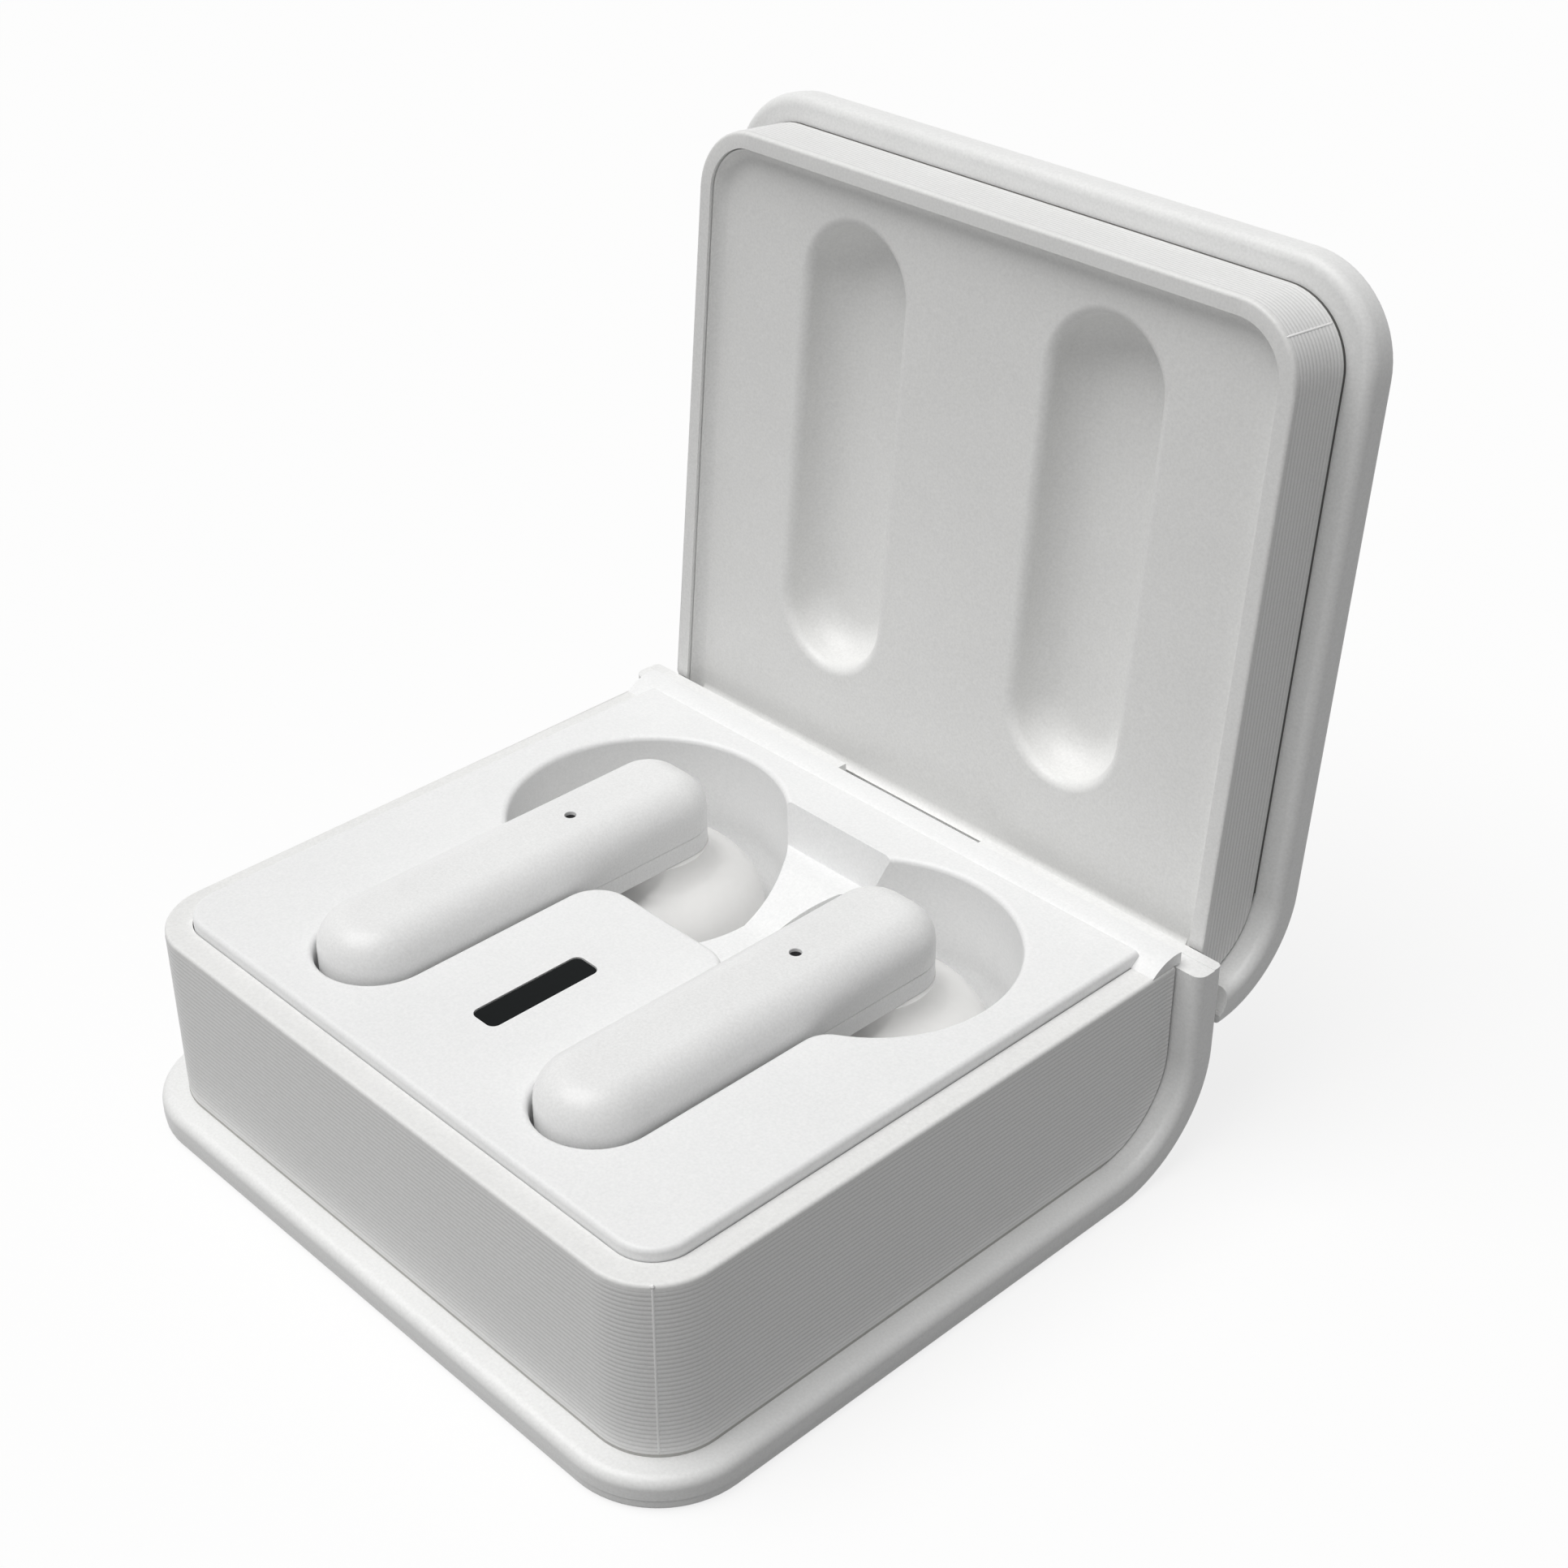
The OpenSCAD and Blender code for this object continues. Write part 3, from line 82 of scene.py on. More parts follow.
card_half = 3.0
card_bounce = 0.26
card_shadow = 0.2
air_light = 0.275
card_z = -0.02 * MM
lamp_power = 2.13
lamp_spread = 50
lamp_way = Vector((0.12, 0.225, -0.666))
card_corners = [(-1, -1), (1, -1), (1, 1), (-1, 1)]
card_mesh = bpy.data.meshes.new("studio_card")
card_points = [(x * card_half, y * card_half, card_z) for x, y in card_corners]
card_mesh.from_pydata(card_points, [], [(0, 1, 2, 3)])
card = bpy.data.objects.new("studio_card", card_mesh)
scene.collection.objects.link(card)
card_paper = bpy.data.materials.new("card_paper")
card_paper.use_nodes = True
tree = card_paper.node_tree
tree.nodes.clear()
paper_dim = tree.nodes.new("ShaderNodeBsdfDiffuse")
paper_dim.inputs["Color"].default_value = (card_bounce, card_bounce, card_bounce, 1)
paper_lit = tree.nodes.new("ShaderNodeBsdfDiffuse")
paper_lit.inputs["Color"].default_value = (1, 1, 1, 1)
paper_white = tree.nodes.new("ShaderNodeEmission")
paper_white.inputs["Color"].default_value = (1, 1, 1, 1)
paper_white.inputs["Strength"].default_value = 1.0
paper_seen = tree.nodes.new("ShaderNodeMixShader")
paper_seen.inputs[0].default_value = card_shadow
tree.links.new(paper_white.outputs[0], paper_seen.inputs[1])
tree.links.new(paper_lit.outputs[0], paper_seen.inputs[2])
paper = tree.nodes.new("ShaderNodeMixShader")
tree.links.new(seen_directly(tree), paper.inputs[0])
tree.links.new(paper_dim.outputs[0], paper.inputs[1])
tree.links.new(paper_seen.outputs[0], paper.inputs[2])
paper_out = tree.nodes.new("ShaderNodeOutputMaterial")
tree.links.new(paper.outputs[0], paper_out.inputs["Surface"])
card_mesh.materials.append(card_paper)

air = bpy.data.worlds.new("studio_air")
scene.world = air
air.use_nodes = True
tree = air.node_tree
tree.nodes.clear()
air_mix = tree.nodes.new("ShaderNodeMix")
air_mix.data_type = "RGBA"
air_mix.inputs[6].default_value = (air_light, air_light, air_light, 1)
air_mix.inputs[7].default_value = (1.0, 1.0, 1.0, 1)
tree.links.new(seen_directly(tree), air_mix.inputs[0])
air_glow = tree.nodes.new("ShaderNodeBackground")
tree.links.new(air_mix.outputs[2], air_glow.inputs["Color"])
air_out = tree.nodes.new("ShaderNodeOutputWorld")
tree.links.new(air_glow.outputs[0], air_out.inputs["Surface"])

ceiling = bpy.data.objects.new("ceiling_light", bpy.data.lights.new("ceiling_light", "SUN"))
ceiling.data.energy = lamp_power
ceiling.data.angle = math.radians(lamp_spread)
ceiling.data.color = (1.0, 0.997, 0.988)
ceiling.rotation_mode = "QUATERNION"
ceiling.rotation_quaternion = lamp_way.to_track_quat("-Z", "Y")
scene.collection.objects.link(ceiling)


# The base cover is two white ABS shells, one inside the other, that bend up at the back into the spine.
# They are injection moulded with a fine spark-eroded grain and are glued face to face.
def surface_marks():
    """The fine marks and slow clouds of a worked surface, as a shade, a gloss and a height."""
    group = bpy.data.node_groups.new("surface_marks", "ShaderNodeTree")
    for label, kind in (("Place", "Vector"), ("Grain", "Float"), ("Fine share", "Float"), ("Dark", "Color"),
                        ("Light", "Color"), ("Smooth", "Float"), ("Rough", "Float")):
        group.interface.new_socket(label, in_out="INPUT", socket_type="NodeSocket" + kind)
    for label, kind in (("Shade", "Color"), ("Gloss", "Float"), ("Height", "Float")):
        group.interface.new_socket(label, in_out="OUTPUT", socket_type="NodeSocket" + kind)
    given = group.nodes.new("NodeGroupInput")
    result = group.nodes.new("NodeGroupOutput")
    fine = group.nodes.new("ShaderNodeTexNoise")
    fine.inputs["Detail"].default_value = 2.0
    group.links.new(given.outputs["Place"], fine.inputs["Vector"])
    group.links.new(given.outputs["Grain"], fine.inputs["Scale"])
    cloud = group.nodes.new("ShaderNodeTexNoise")
    cloud.inputs["Scale"].default_value = 140.0
    cloud.inputs["Detail"].default_value = 3.0
    group.links.new(given.outputs["Place"], cloud.inputs["Vector"])
    both = group.nodes.new("ShaderNodeMix")
    group.links.new(given.outputs["Fine share"], both.inputs[0])
    group.links.new(cloud.outputs["Fac"], both.inputs[2])
    group.links.new(fine.outputs["Fac"], both.inputs[3])
    shade = group.nodes.new("ShaderNodeMix")
    shade.data_type = "RGBA"
    group.links.new(both.outputs[0], shade.inputs[0])
    group.links.new(given.outputs["Dark"], shade.inputs[6])
    group.links.new(given.outputs["Light"], shade.inputs[7])
    gloss = group.nodes.new("ShaderNodeMapRange")
    gloss.inputs["From Min"].default_value = 0.3
    gloss.inputs["From Max"].default_value = 0.7
    group.links.new(both.outputs[0], gloss.inputs["Value"])
    group.links.new(given.outputs["Smooth"], gloss.inputs["To Min"])
    group.links.new(given.outputs["Rough"], gloss.inputs["To Max"])
    group.links.new(shade.outputs[2], result.inputs["Shade"])
    group.links.new(gloss.outputs["Result"], result.inputs["Gloss"])
    group.links.new(fine.outputs["Fac"], result.inputs["Height"])
    return group


def worked(name, shades, glosses, grain, depth, fine_share, stretch=(1, 1, 1)):
    """A finish whose shade, gloss and relief come from the marks of its making."""
    finish = bpy.data.materials.new(name)
    finish.use_nodes = True
    tree = finish.node_tree
    shader = tree.nodes["Principled BSDF"]
    where = tree.nodes.new("ShaderNodeTexCoord")
    run = tree.nodes.new("ShaderNodeMapping")
    run.inputs["Scale"].default_value = stretch
    tree.links.new(where.outputs["Object"], run.inputs["Vector"])
    made = tree.nodes.new("ShaderNodeGroup")
    made.node_tree = marks
    tree.links.new(run.outputs["Vector"], made.inputs["Place"])
    made.inputs["Grain"].default_value = grain
    made.inputs["Fine share"].default_value = fine_share
    made.inputs["Dark"].default_value = (*shades[0], 1)
    made.inputs["Light"].default_value = (*[min(1, c) for c in shades[1]], 1)
    made.inputs["Smooth"].default_value = glosses[0]
    made.inputs["Rough"].default_value = glosses[1]
    tree.links.new(made.outputs["Shade"], shader.inputs["Base Color"])
    tree.links.new(made.outputs["Gloss"], shader.inputs["Roughness"])
    bump = tree.nodes.new("ShaderNodeBump")
    bump.inputs["Strength"].default_value = 0.4
    bump.inputs["Distance"].default_value = depth
    tree.links.new(made.outputs["Height"], bump.inputs["Height"])
    tree.links.new(bump.outputs["Normal"], shader.inputs["Normal"])
    return finish


def plastic(name, colour, rough, grain, depth, drift=0.07, uneven=0.06):
    """Moulded plastic with the mould's grain, a slow drift of shade and a slightly uneven gloss."""
    shades = [[c * (1 + turn * drift) for c in colour] for turn in (-2, 2)]
    return worked(name, shades, (rough - uneven, rough + uneven), grain, depth, fine_share=0.75)


def carry(piece, body):
    """Lets a piece move with a body."""
    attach(piece, body)
    return piece


def settle(piece, node, body):
    """Lets a piece stand for its solid and move with its body."""
    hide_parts(node)
    return carry(piece, body)


def copied(name, node, finish):
    """A copy of a solid with a finish of its own, and its skin with the triangles' corners joined."""
    weld = 2e-7
    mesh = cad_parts[node].data.copy()
    mesh.name = name
    mesh.materials.clear()
    mesh.materials.append(finish)
    work = bmesh.new()
    work.from_mesh(mesh)
    bmesh.ops.remove_doubles(work, verts=work.verts, dist=weld)
    return mesh, work


def sharpen(lines, degrees):
    """Keeps an edge smooth only where its two faces meet at less than an angle."""
    for line in lines:
        line.smooth = line.calc_face_angle(0) < math.radians(degrees)


def placed(name, mesh, work):
    """Puts a worked skin into its mesh and the mesh into the scene."""
    work.to_mesh(mesh)
    work.free()
    piece = bpy.data.objects.new(name, mesh)
    scene.collection.objects.link(piece)
    return piece


def crisp(name, node, body, finish):
    """A copy of a solid, smooth round its corners and sharp at every real edge."""
    mesh, work = copied(name, node, finish)
    for face in work.faces:
        face.smooth = True
    sharpen(work.edges, degrees=25)
    piece = placed(name, mesh, work)
    flat = piece.modifiers.new("flat_faces", "WEIGHTED_NORMAL")
    flat.keep_sharp = True
    flat.weight = 60
    return settle(piece, node, body)


marks = surface_marks()
shell_white = plastic("satin_shell", (0.87, 0.872, 0.868), rough=0.4, grain=5000, depth=0.012 * MM)
crisp("base_outer_shell", "base_outer_plate", "base", shell_white)
crisp("base_inner_shell", "base_cover", "base", shell_white)


# The base page block is one white ABS ring, moulded outside to look like the edges of a book's pages.
# Fine round ribs run round its front and sides, and the mould's joint shows as a thin line at a corner.
# It stands on the cover in a bead of grey glue.
def new_tree(name, inputs):
    """An empty node tree with named inputs, given as (name, kind, value), and one geometry output."""
    tree = bpy.data.node_groups.new(name, "GeometryNodeTree")
    tree.interface.new_socket("Geometry", in_out="INPUT", socket_type="NodeSocketGeometry")
    for label, kind, value in inputs:
        socket = tree.interface.new_socket(label, in_out="INPUT", socket_type="NodeSocket" + kind)
        if value is not None:
            socket.default_value = value
    tree.interface.new_socket("Geometry", in_out="OUTPUT", socket_type="NodeSocketGeometry")
    return tree, tree.nodes.new("NodeGroupInput"), tree.nodes.new("NodeGroupOutput")


def add(tree, kind, **given):
    """A new node with its inputs linked or set, each by its name with _ for a space."""
    node = tree.nodes.new(kind)
    for label, value in given.items():
        socket = node.inputs[label.replace("_", " ")]
        if isinstance(value, bpy.types.NodeSocket):
            tree.links.new(value, socket)
        else:
            socket.default_value = value
    return node


def number(tree, operation, first, second=0.0):
    """One sum on two numbers or sockets."""
    node = tree.nodes.new("ShaderNodeMath")
    node.operation = operation
    for place, value in enumerate((first, second)):
        if isinstance(value, bpy.types.NodeSocket):
            tree.links.new(value, node.inputs[place])
        else:
            node.inputs[place].default_value = value
    return node.outputs[0]


def closing(tree, geometry, given, result):
    """Ends a tree in real, smooth geometry that carries its finish."""
    real = add(tree, "GeometryNodeRealizeInstances", Geometry=geometry)
    smooth = add(tree, "GeometryNodeSetShadeSmooth", Geometry=real.outputs[0])
    coat = add(tree, "GeometryNodeSetMaterial", Geometry=smooth.outputs[0], Material=given.outputs["Finish"])
    tree.links.new(coat.outputs[0], result.inputs["Geometry"])


def grown(name, tree, values, start=None, place=None):
    """Runs a tree on a starting mesh and keeps what it makes as a plain mesh in its place."""
    piece = bpy.data.objects.new(name, start or bpy.data.meshes.new(name + "_start"))
    scene.collection.objects.link(piece)
    maker = piece.modifiers.new("maker", "NODES")
    maker.node_group = tree
    for socket in tree.interface.items_tree:
        if socket.in_out == "INPUT" and socket.name in values:
            maker[socket.identifier] = values[socket.name]
    ready = piece.evaluated_get(bpy.context.evaluated_depsgraph_get())
    mesh = bpy.data.meshes.new_from_object(ready)
    piece.modifiers.remove(maker)
    mesh.name = name
    if place is not None:
        mesh.transform(place)
    work = bmesh.new()
    work.from_mesh(mesh)
    bmesh.ops.recalc_face_normals(work, faces=work.faces)
    sharpen(work.edges, degrees=40)
    work.to_mesh(mesh)
    work.free()
    piece.data = mesh
    return piece


def rib_tree():
    """Round ribs, one above the other, that follow a path from end to end."""
    tree, given, result = new_tree("page_ribs", [
        ("Ribs", "Int", 10), ("Pitch", "Float", 0.375 * MM), ("Crest", "Float", 0.02 * MM),
        ("Valley", "Float", 0.006 * MM), ("Finish", "Material", None)])
    steps = 10
    path = add(tree, "GeometryNodeMeshToCurve", Mesh=given.outputs["Geometry"])
    upright = add(tree, "GeometryNodeSetCurveNormal", Curve=path.outputs[0])
    upright.mode = "Z_UP"
    points = number(tree, "ADD", number(tree, "MULTIPLY", given.outputs["Ribs"], steps), 1)
    step = add(tree, "ShaderNodeCombineXYZ", Y=number(tree, "DIVIDE", given.outputs["Pitch"], -steps))
    line = add(tree, "GeometryNodeMeshLine", Count=points, Offset=step.outputs[0])
    index = tree.nodes.new("GeometryNodeInputIndex")
    turn = number(tree, "FRACT", number(tree, "DIVIDE", index.outputs[0], steps))
    off_crest = number(tree, "ABSOLUTE", number(tree, "SUBTRACT", turn, 0.5))
    section = tree.nodes.new("ShaderNodeMapRange")
    section.interpolation_type = "SMOOTHSTEP"
    section.inputs["From Min"].default_value = 0.08
    section.inputs["From Max"].default_value = 0.5
    tree.links.new(off_crest, section.inputs["Value"])
    tree.links.new(number(tree, "MULTIPLY", given.outputs["Crest"], -1), section.inputs["To Min"])
    tree.links.new(number(tree, "MULTIPLY", given.outputs["Valley"], -1), section.inputs["To Max"])
    swell = add(tree, "ShaderNodeCombineXYZ", X=section.outputs["Result"])
    bent = add(tree, "GeometryNodeSetPosition", Geometry=line.outputs[0], Offset=swell.outputs[0])
    # How far into a groove each point lies, kept as a mask for the painted shade in the grooves.
    groove_shade_mask = tree.nodes.new("ShaderNodeMapRange")
    groove_shade_mask.inputs["From Min"].default_value = 0.2
    groove_shade_mask.inputs["From Max"].default_value = 0.5
    tree.links.new(off_crest, groove_shade_mask.inputs["Value"])
    marked = add(tree, "GeometryNodeStoreNamedAttribute", Geometry=bent.outputs[0], Name="groove",
                 Value=groove_shade_mask.outputs["Result"])
    profile = add(tree, "GeometryNodeMeshToCurve", Mesh=marked.outputs[0])
    swept = add(tree, "GeometryNodeCurveToMesh", Curve=upright.outputs[0], Profile_Curve=profile.outputs[0])
    closing(tree, swept.outputs[0], given, result)
    return tree


def grooved(finish, dark):
    """Paints shade into a finish's colour in the grooves between the ribs, darker the deeper the groove."""
    tree = finish.node_tree
    colour = tree.nodes["Principled BSDF"].inputs["Base Color"]
    groove = tree.nodes.new("ShaderNodeAttribute")
    groove.attribute_name = "groove"
    shaded = tree.nodes.new("ShaderNodeMix")
    shaded.data_type = "RGBA"
    shaded.blend_type = "MULTIPLY"
    shaded.inputs[7].default_value = (dark, dark, dark, 1)
    tree.links.new(groove.outputs["Fac"], shaded.inputs[0])
    tree.links.new(colour.links[0].from_socket, shaded.inputs[6])
    tree.links.new(shaded.outputs[2], colour)


page_half = 28.0 * MM
page_front = -24.7 * MM
page_end = 18.0 * MM
page_round = 5.2 * MM
rim_soft = 0.28 * MM
rib_step = 0.375 * MM


def soft_rim(piece, level, shut):
    """Rounds the outer edge of a page block's rim, which lies at one level when the case is shut."""
    slack = 0.03 * MM
    same = 0.001 * MM
    mesh = piece.data
    mesh.transform(shut)
    work = bmesh.new()
    work.from_mesh(mesh)
    rim = []
    for line in work.edges:
        a, b = (v.co for v in line.verts)
        middle = (a + b) / 2
        flat = abs(a.z - level) < same and abs(b.z - level) < same
        corner = Vector((max(abs(middle.x) - page_half + page_round, 0),
                         min(middle.y - page_front - page_round, 0)))
        outer = corner.length > page_round - slack
        if flat and outer and not line.smooth:
            rim.append(line)
    made = bmesh.ops.bevel(work, geom=rim, offset=rim_soft, segments=4, profile=0.5, affect="EDGES")
    for face in made["faces"]:
        face.smooth = True
        sharpen(face.edges, degrees=40)
    work.to_mesh(mesh)
    work.free()
    mesh.transform(shut.inverted())


def page_path(name):
    """The run of the page edges seen from above, from the right back corner round to the left one."""
    points = [(page_half, page_end)]
    for turn in range(0, 91, 6):
        a = math.radians(-turn)
        points.append((page_half - page_round + page_round * math.cos(a),
                       page_front + page_round + page_round * math.sin(a)))
    points += [(-x, y) for x, y in reversed(points)]
    mesh = bpy.data.meshes.new(name)
    mesh.from_pydata([(x, y, 0) for x, y in points], [(i, i + 1) for i in range(len(points) - 1)], [])
    return mesh


def meet_spine(piece, bend_y, bend_z, radius, way, shut):
    """Ends a strip of page edges on the round inside of a spine, which bends down (-1) or up (1)."""
    short = 0.03 * MM
    back = shut.inverted()
    for point in piece.data.vertices:
        place = shut @ point.co
        if place.y > page_end - short:
            rise = max(0, way * (place.z - bend_z))
            place.y = bend_y + math.sqrt(max(0, radius ** 2 - rise ** 2)) - short
            point.co = back @ place


def page_strip(name, values, level, bend, body):
    """Lays ribs, a bead of glue or a bead of painted shadow round a page block, at a level of the shut case,
    up to its spine.
    """
    lift = bend["shut"].inverted() @ Matrix.Translation((0, 0, level))
    piece = grown(name, page_ribs, values, page_path(name + "_run"), lift)
    meet_spine(piece, **bend)
    carry(piece, body)


def mould_line(name, low, high, burr):
    """The thin raised line that a mould's joint leaves up a round page corner, with a burr at its end."""
    turn = math.radians(-43)
    wide = 0.16 * MM
    proud = 0.05 * MM
    end = 0.3 * MM
    burr_sunk = 0.06 * MM
    out = Vector((math.cos(turn), math.sin(turn), 0))
    along = Vector((-out.y, out.x, 0))
    foot = Vector((page_half - page_round, page_front + page_round, 0)) + out * page_round
    section = ((-1, -0.5), (-0.9, 0.6), (-0.5, 0.95), (0, 1), (0.5, 0.95), (0.9, 0.6), (1, -0.5))
    work = bmesh.new()
    rows = []
    for z, share in ((low, 0.3), (low + end, 1), (high - end, 1), (high, 0.3)):
        row = []
        for across, up in section:
            side = along * (across * wide * 0.5 * share)
            row.append(work.verts.new(foot + side + out * (up * proud * share) + Vector((0, 0, z))))
        rows.append(row)
    for below, above in zip(rows, rows[1:]):
        for step in range(6):
            work.faces.new((below[step], below[step + 1], above[step + 1], above[step]))
        work.faces.new((below[0], above[0], above[6], below[6]))
    work.faces.new(rows[0])
    work.faces.new(rows[-1])
    bmesh.ops.recalc_face_normals(work, faces=work.faces)
    if burr > 0:
        lump = bmesh.ops.create_uvsphere(work, u_segments=14, v_segments=9, radius=burr)["verts"]
        place = foot - out * burr_sunk + Vector((0, 0, high))
        for point in lump:
            wobble = 1 + 0.18 * math.sin(point.co.x / burr * 5) * math.cos(point.co.y / burr * 4)
            point.co = place + point.co * wobble
    for face in work.faces:
        face.smooth = len(face.verts) < 5
    return placed(name, bpy.data.meshes.new(name), work)


page_white = plastic("page_edges", (0.85, 0.85, 0.843), rough=0.46, grain=5000, depth=0.01 * MM)
rib_white = plastic("page_ribs", (0.91, 0.91, 0.902), rough=0.46, grain=5000, depth=0.01 * MM)
# The rib finish gets painted shade in its grooves, darker in their depths.
grooved(rib_white, 0.77)
glue = plastic("grey_glue", (0.46, 0.455, 0.44), rough=0.6, grain=4000, depth=0.006 * MM, drift=0.1)
base_pages = crisp("base_pages", "base_page_block", "base", page_white)
base_rim_z = 17.1 * MM
base_rib_z = 3.08 * MM
base_glue_z = 2.58 * MM
base_bend = {"bend_y": 17.96 * MM, "bend_z": 9.5 * MM, "radius": 6.74 * MM, "way": -1,
             "shut": Matrix.Identity(4)}
soft_rim(base_pages, base_rim_z, base_bend["shut"])
page_ribs = rib_tree()
base_ribs = {"Ribs": 36, "Pitch": rib_step, "Finish": rib_white}
page_strip("base_page_ribs", base_ribs, base_rib_z, base_bend, "base")
base_glue = {"Ribs": 1, "Pitch": 0.27 * MM, "Finish": glue}
page_strip("base_glue_bead", base_glue, base_glue_z, base_bend, "base")
base_line = mould_line("base_mould_line", low=2.85 * MM, high=17.0 * MM, burr=0.16 * MM)
# Painted highlight: the mould line is coloured lighter than the page block to stand for the glint it
# catches; its lower roughness is real gloss.
painted_seam_highlight = plastic("mould_line_painted_highlight", (0.97, 0.97, 0.965), rough=0.2, grain=5000, depth=0.004 * MM,
                    drift=0.01)
base_line.data.materials.append(painted_seam_highlight)
carry(base_line, "base")


# Four small zinc plated steel screws hold the page block to the inner shell of the cover, from below.
# Each has a flat round head with a cross recess and a rolled thread, and the outer shell hides them.
def metal(name, colour, rough, grain, stretch=(1, 1, 1), depth=0.004 * MM):
    """Bare or plated metal with fine marks that run the way it was drawn, rolled or ground."""
    uneven = 0.08
    shades = [[c * share for c in colour] for share in (0.86, 1.1)]
    glosses = (rough - uneven, rough + uneven)
    finish = worked(name, shades, glosses, grain, depth, fine_share=1.0, stretch=stretch)
    finish.node_tree.nodes["Principled BSDF"].inputs["Metallic"].default_value = 1.0
    return finish


def screw_tree():
    """Screws with cross heads on the four corners of a rectangle, heads down."""
    tree, given, result = new_tree("cover_screws", [
        ("Across", "Float", 49.2 * MM), ("Along", "Float", 16 * MM), ("Head", "Float", 1.3 * MM),
        ("Head height", "Float", 0.6 * MM), ("Shank", "Float", 0.5 * MM), ("Length", "Float", 4 * MM),
        ("Finish", "Material", None)])
    cross_long = 1.2
    cross_wide = 0.24
    cross_deep = 0.45
    thread_long = 0.9
    thread_high = 0.2
    head = add(tree, "GeometryNodeMeshCylinder", Vertices=40, Radius=given.outputs["Head"],
               Depth=given.outputs["Head height"])
    wide = add(tree, "ShaderNodeCombineXYZ", X=number(tree, "MULTIPLY", given.outputs["Head"], cross_long),
               Y=number(tree, "MULTIPLY", given.outputs["Head"], cross_wide), Z=given.outputs["Head height"])
    bar = add(tree, "GeometryNodeMeshCube", Size=wide.outputs[0])
    cross_bar = add(tree, "GeometryNodeTransform", Geometry=bar.outputs[0], Rotation=(0, 0, math.pi / 2))
    cross = tree.nodes.new("GeometryNodeJoinGeometry")
    tree.links.new(bar.outputs[0], cross.inputs[0])
    tree.links.new(cross_bar.outputs[0], cross.inputs[0])
    lower = number(tree, "MULTIPLY", given.outputs["Head height"], -cross_deep)
    sunk = add(tree, "ShaderNodeCombineXYZ", Z=lower)
    recess = add(tree, "GeometryNodeTransform", Geometry=cross.outputs[0], Translation=sunk.outputs[0])
    cut = add(tree, "GeometryNodeMeshBoolean", Mesh_1=head.outputs[0], Mesh_2=recess.outputs[0])
    cut.operation = "DIFFERENCE"
    core = add(tree, "GeometryNodeMeshCylinder", Vertices=24, Radius=given.outputs["Shank"],
               Depth=given.outputs["Length"])
    rise = add(tree, "ShaderNodeCombineXYZ", Z=number(tree, "MULTIPLY", given.outputs["Length"], 0.5))
    core_up = add(tree, "GeometryNodeTransform", Geometry=core.outputs[0], Translation=rise.outputs[0])
    thread = add(tree, "GeometryNodeCurveSpiral", Resolution=20, Rotations=9.0,
                 Start_Radius=given.outputs["Shank"], End_Radius=given.outputs["Shank"],
                 Height=number(tree, "MULTIPLY", given.outputs["Length"], thread_long))
    ridge = add(tree, "GeometryNodeCurvePrimitiveCircle", Resolution=5,
                Radius=number(tree, "MULTIPLY", given.outputs["Shank"], thread_high))
    wound = add(tree, "GeometryNodeCurveToMesh", Curve=thread.outputs[0], Profile_Curve=ridge.outputs[0],
                Fill_Caps=True)
    screw = tree.nodes.new("GeometryNodeJoinGeometry")
    for made in (cut, core_up, wound):
        tree.links.new(made.outputs[0], screw.inputs[0])
    corners = add(tree, "GeometryNodeMeshGrid", Vertices_X=2, Vertices_Y=2,
                  Size_X=given.outputs["Across"], Size_Y=given.outputs["Along"])
    set_in = add(tree, "GeometryNodeInstanceOnPoints", Points=corners.outputs[0], Instance=screw.outputs[0])
    closing(tree, set_in.outputs[0], given, result)
    return tree


zinc_steel = metal("zinc_plated_steel", (0.55, 0.55, 0.56), rough=0.38, grain=5000)
screw_low, screw_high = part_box("cover_screws")
screw_head = 1.3 * MM
screw_head_h = 0.6 * MM
screws = grown("cover_screw_set", screw_tree(), {
    "Across": screw_high.x - screw_low.x - 2 * screw_head,
    "Along": screw_high.y - screw_low.y - 2 * screw_head,
    "Head": screw_head, "Head height": screw_head_h, "Shank": 0.55 * MM,
    "Length": screw_high.z - screw_low.z - 0.5 * screw_head_h, "Finish": zinc_steel},
    place=Matrix.Translation((0, (screw_low.y + screw_high.y) / 2, screw_low.z + 0.5 * screw_head_h)))
settle(screws, "cover_screws", "base")


# The case's cell is a flat lithium pouch in aluminium laminate, wound, folded and heat sealed.
# It lies on the inner shell at the front and is held by tape.
def moulded(name, node, body, finish, edge, rows=3):
    """A copy of a solid with its sharp edges softened as a mould leaves them."""
    even = math.radians(0.4)
    mesh, work = copied(name, node, finish)
    bmesh.ops.dissolve_limit(work, angle_limit=even, verts=work.verts, edges=work.edges)
    for face in work.faces:
        face.smooth = True
    piece = placed(name, mesh, work)
    soft = piece.modifiers.new("soft_edges", "BEVEL")
    soft.width = edge
    soft.segments = rows
    soft.limit_method = "ANGLE"
    soft.angle_limit = math.radians(32)
    soft.miter_outer = "MITER_ARC"
    flat = piece.modifiers.new("flat_faces", "WEIGHTED_NORMAL")
    flat.keep_sharp = False
    flat.weight = 60
    return settle(piece, node, body)


foil = metal("pouch_foil", (0.72, 0.72, 0.73), rough=0.34, grain=900, depth=0.03 * MM)
moulded("case_pouch_cell", "case_battery", "base", foil, edge=0.8 * MM, rows=4)


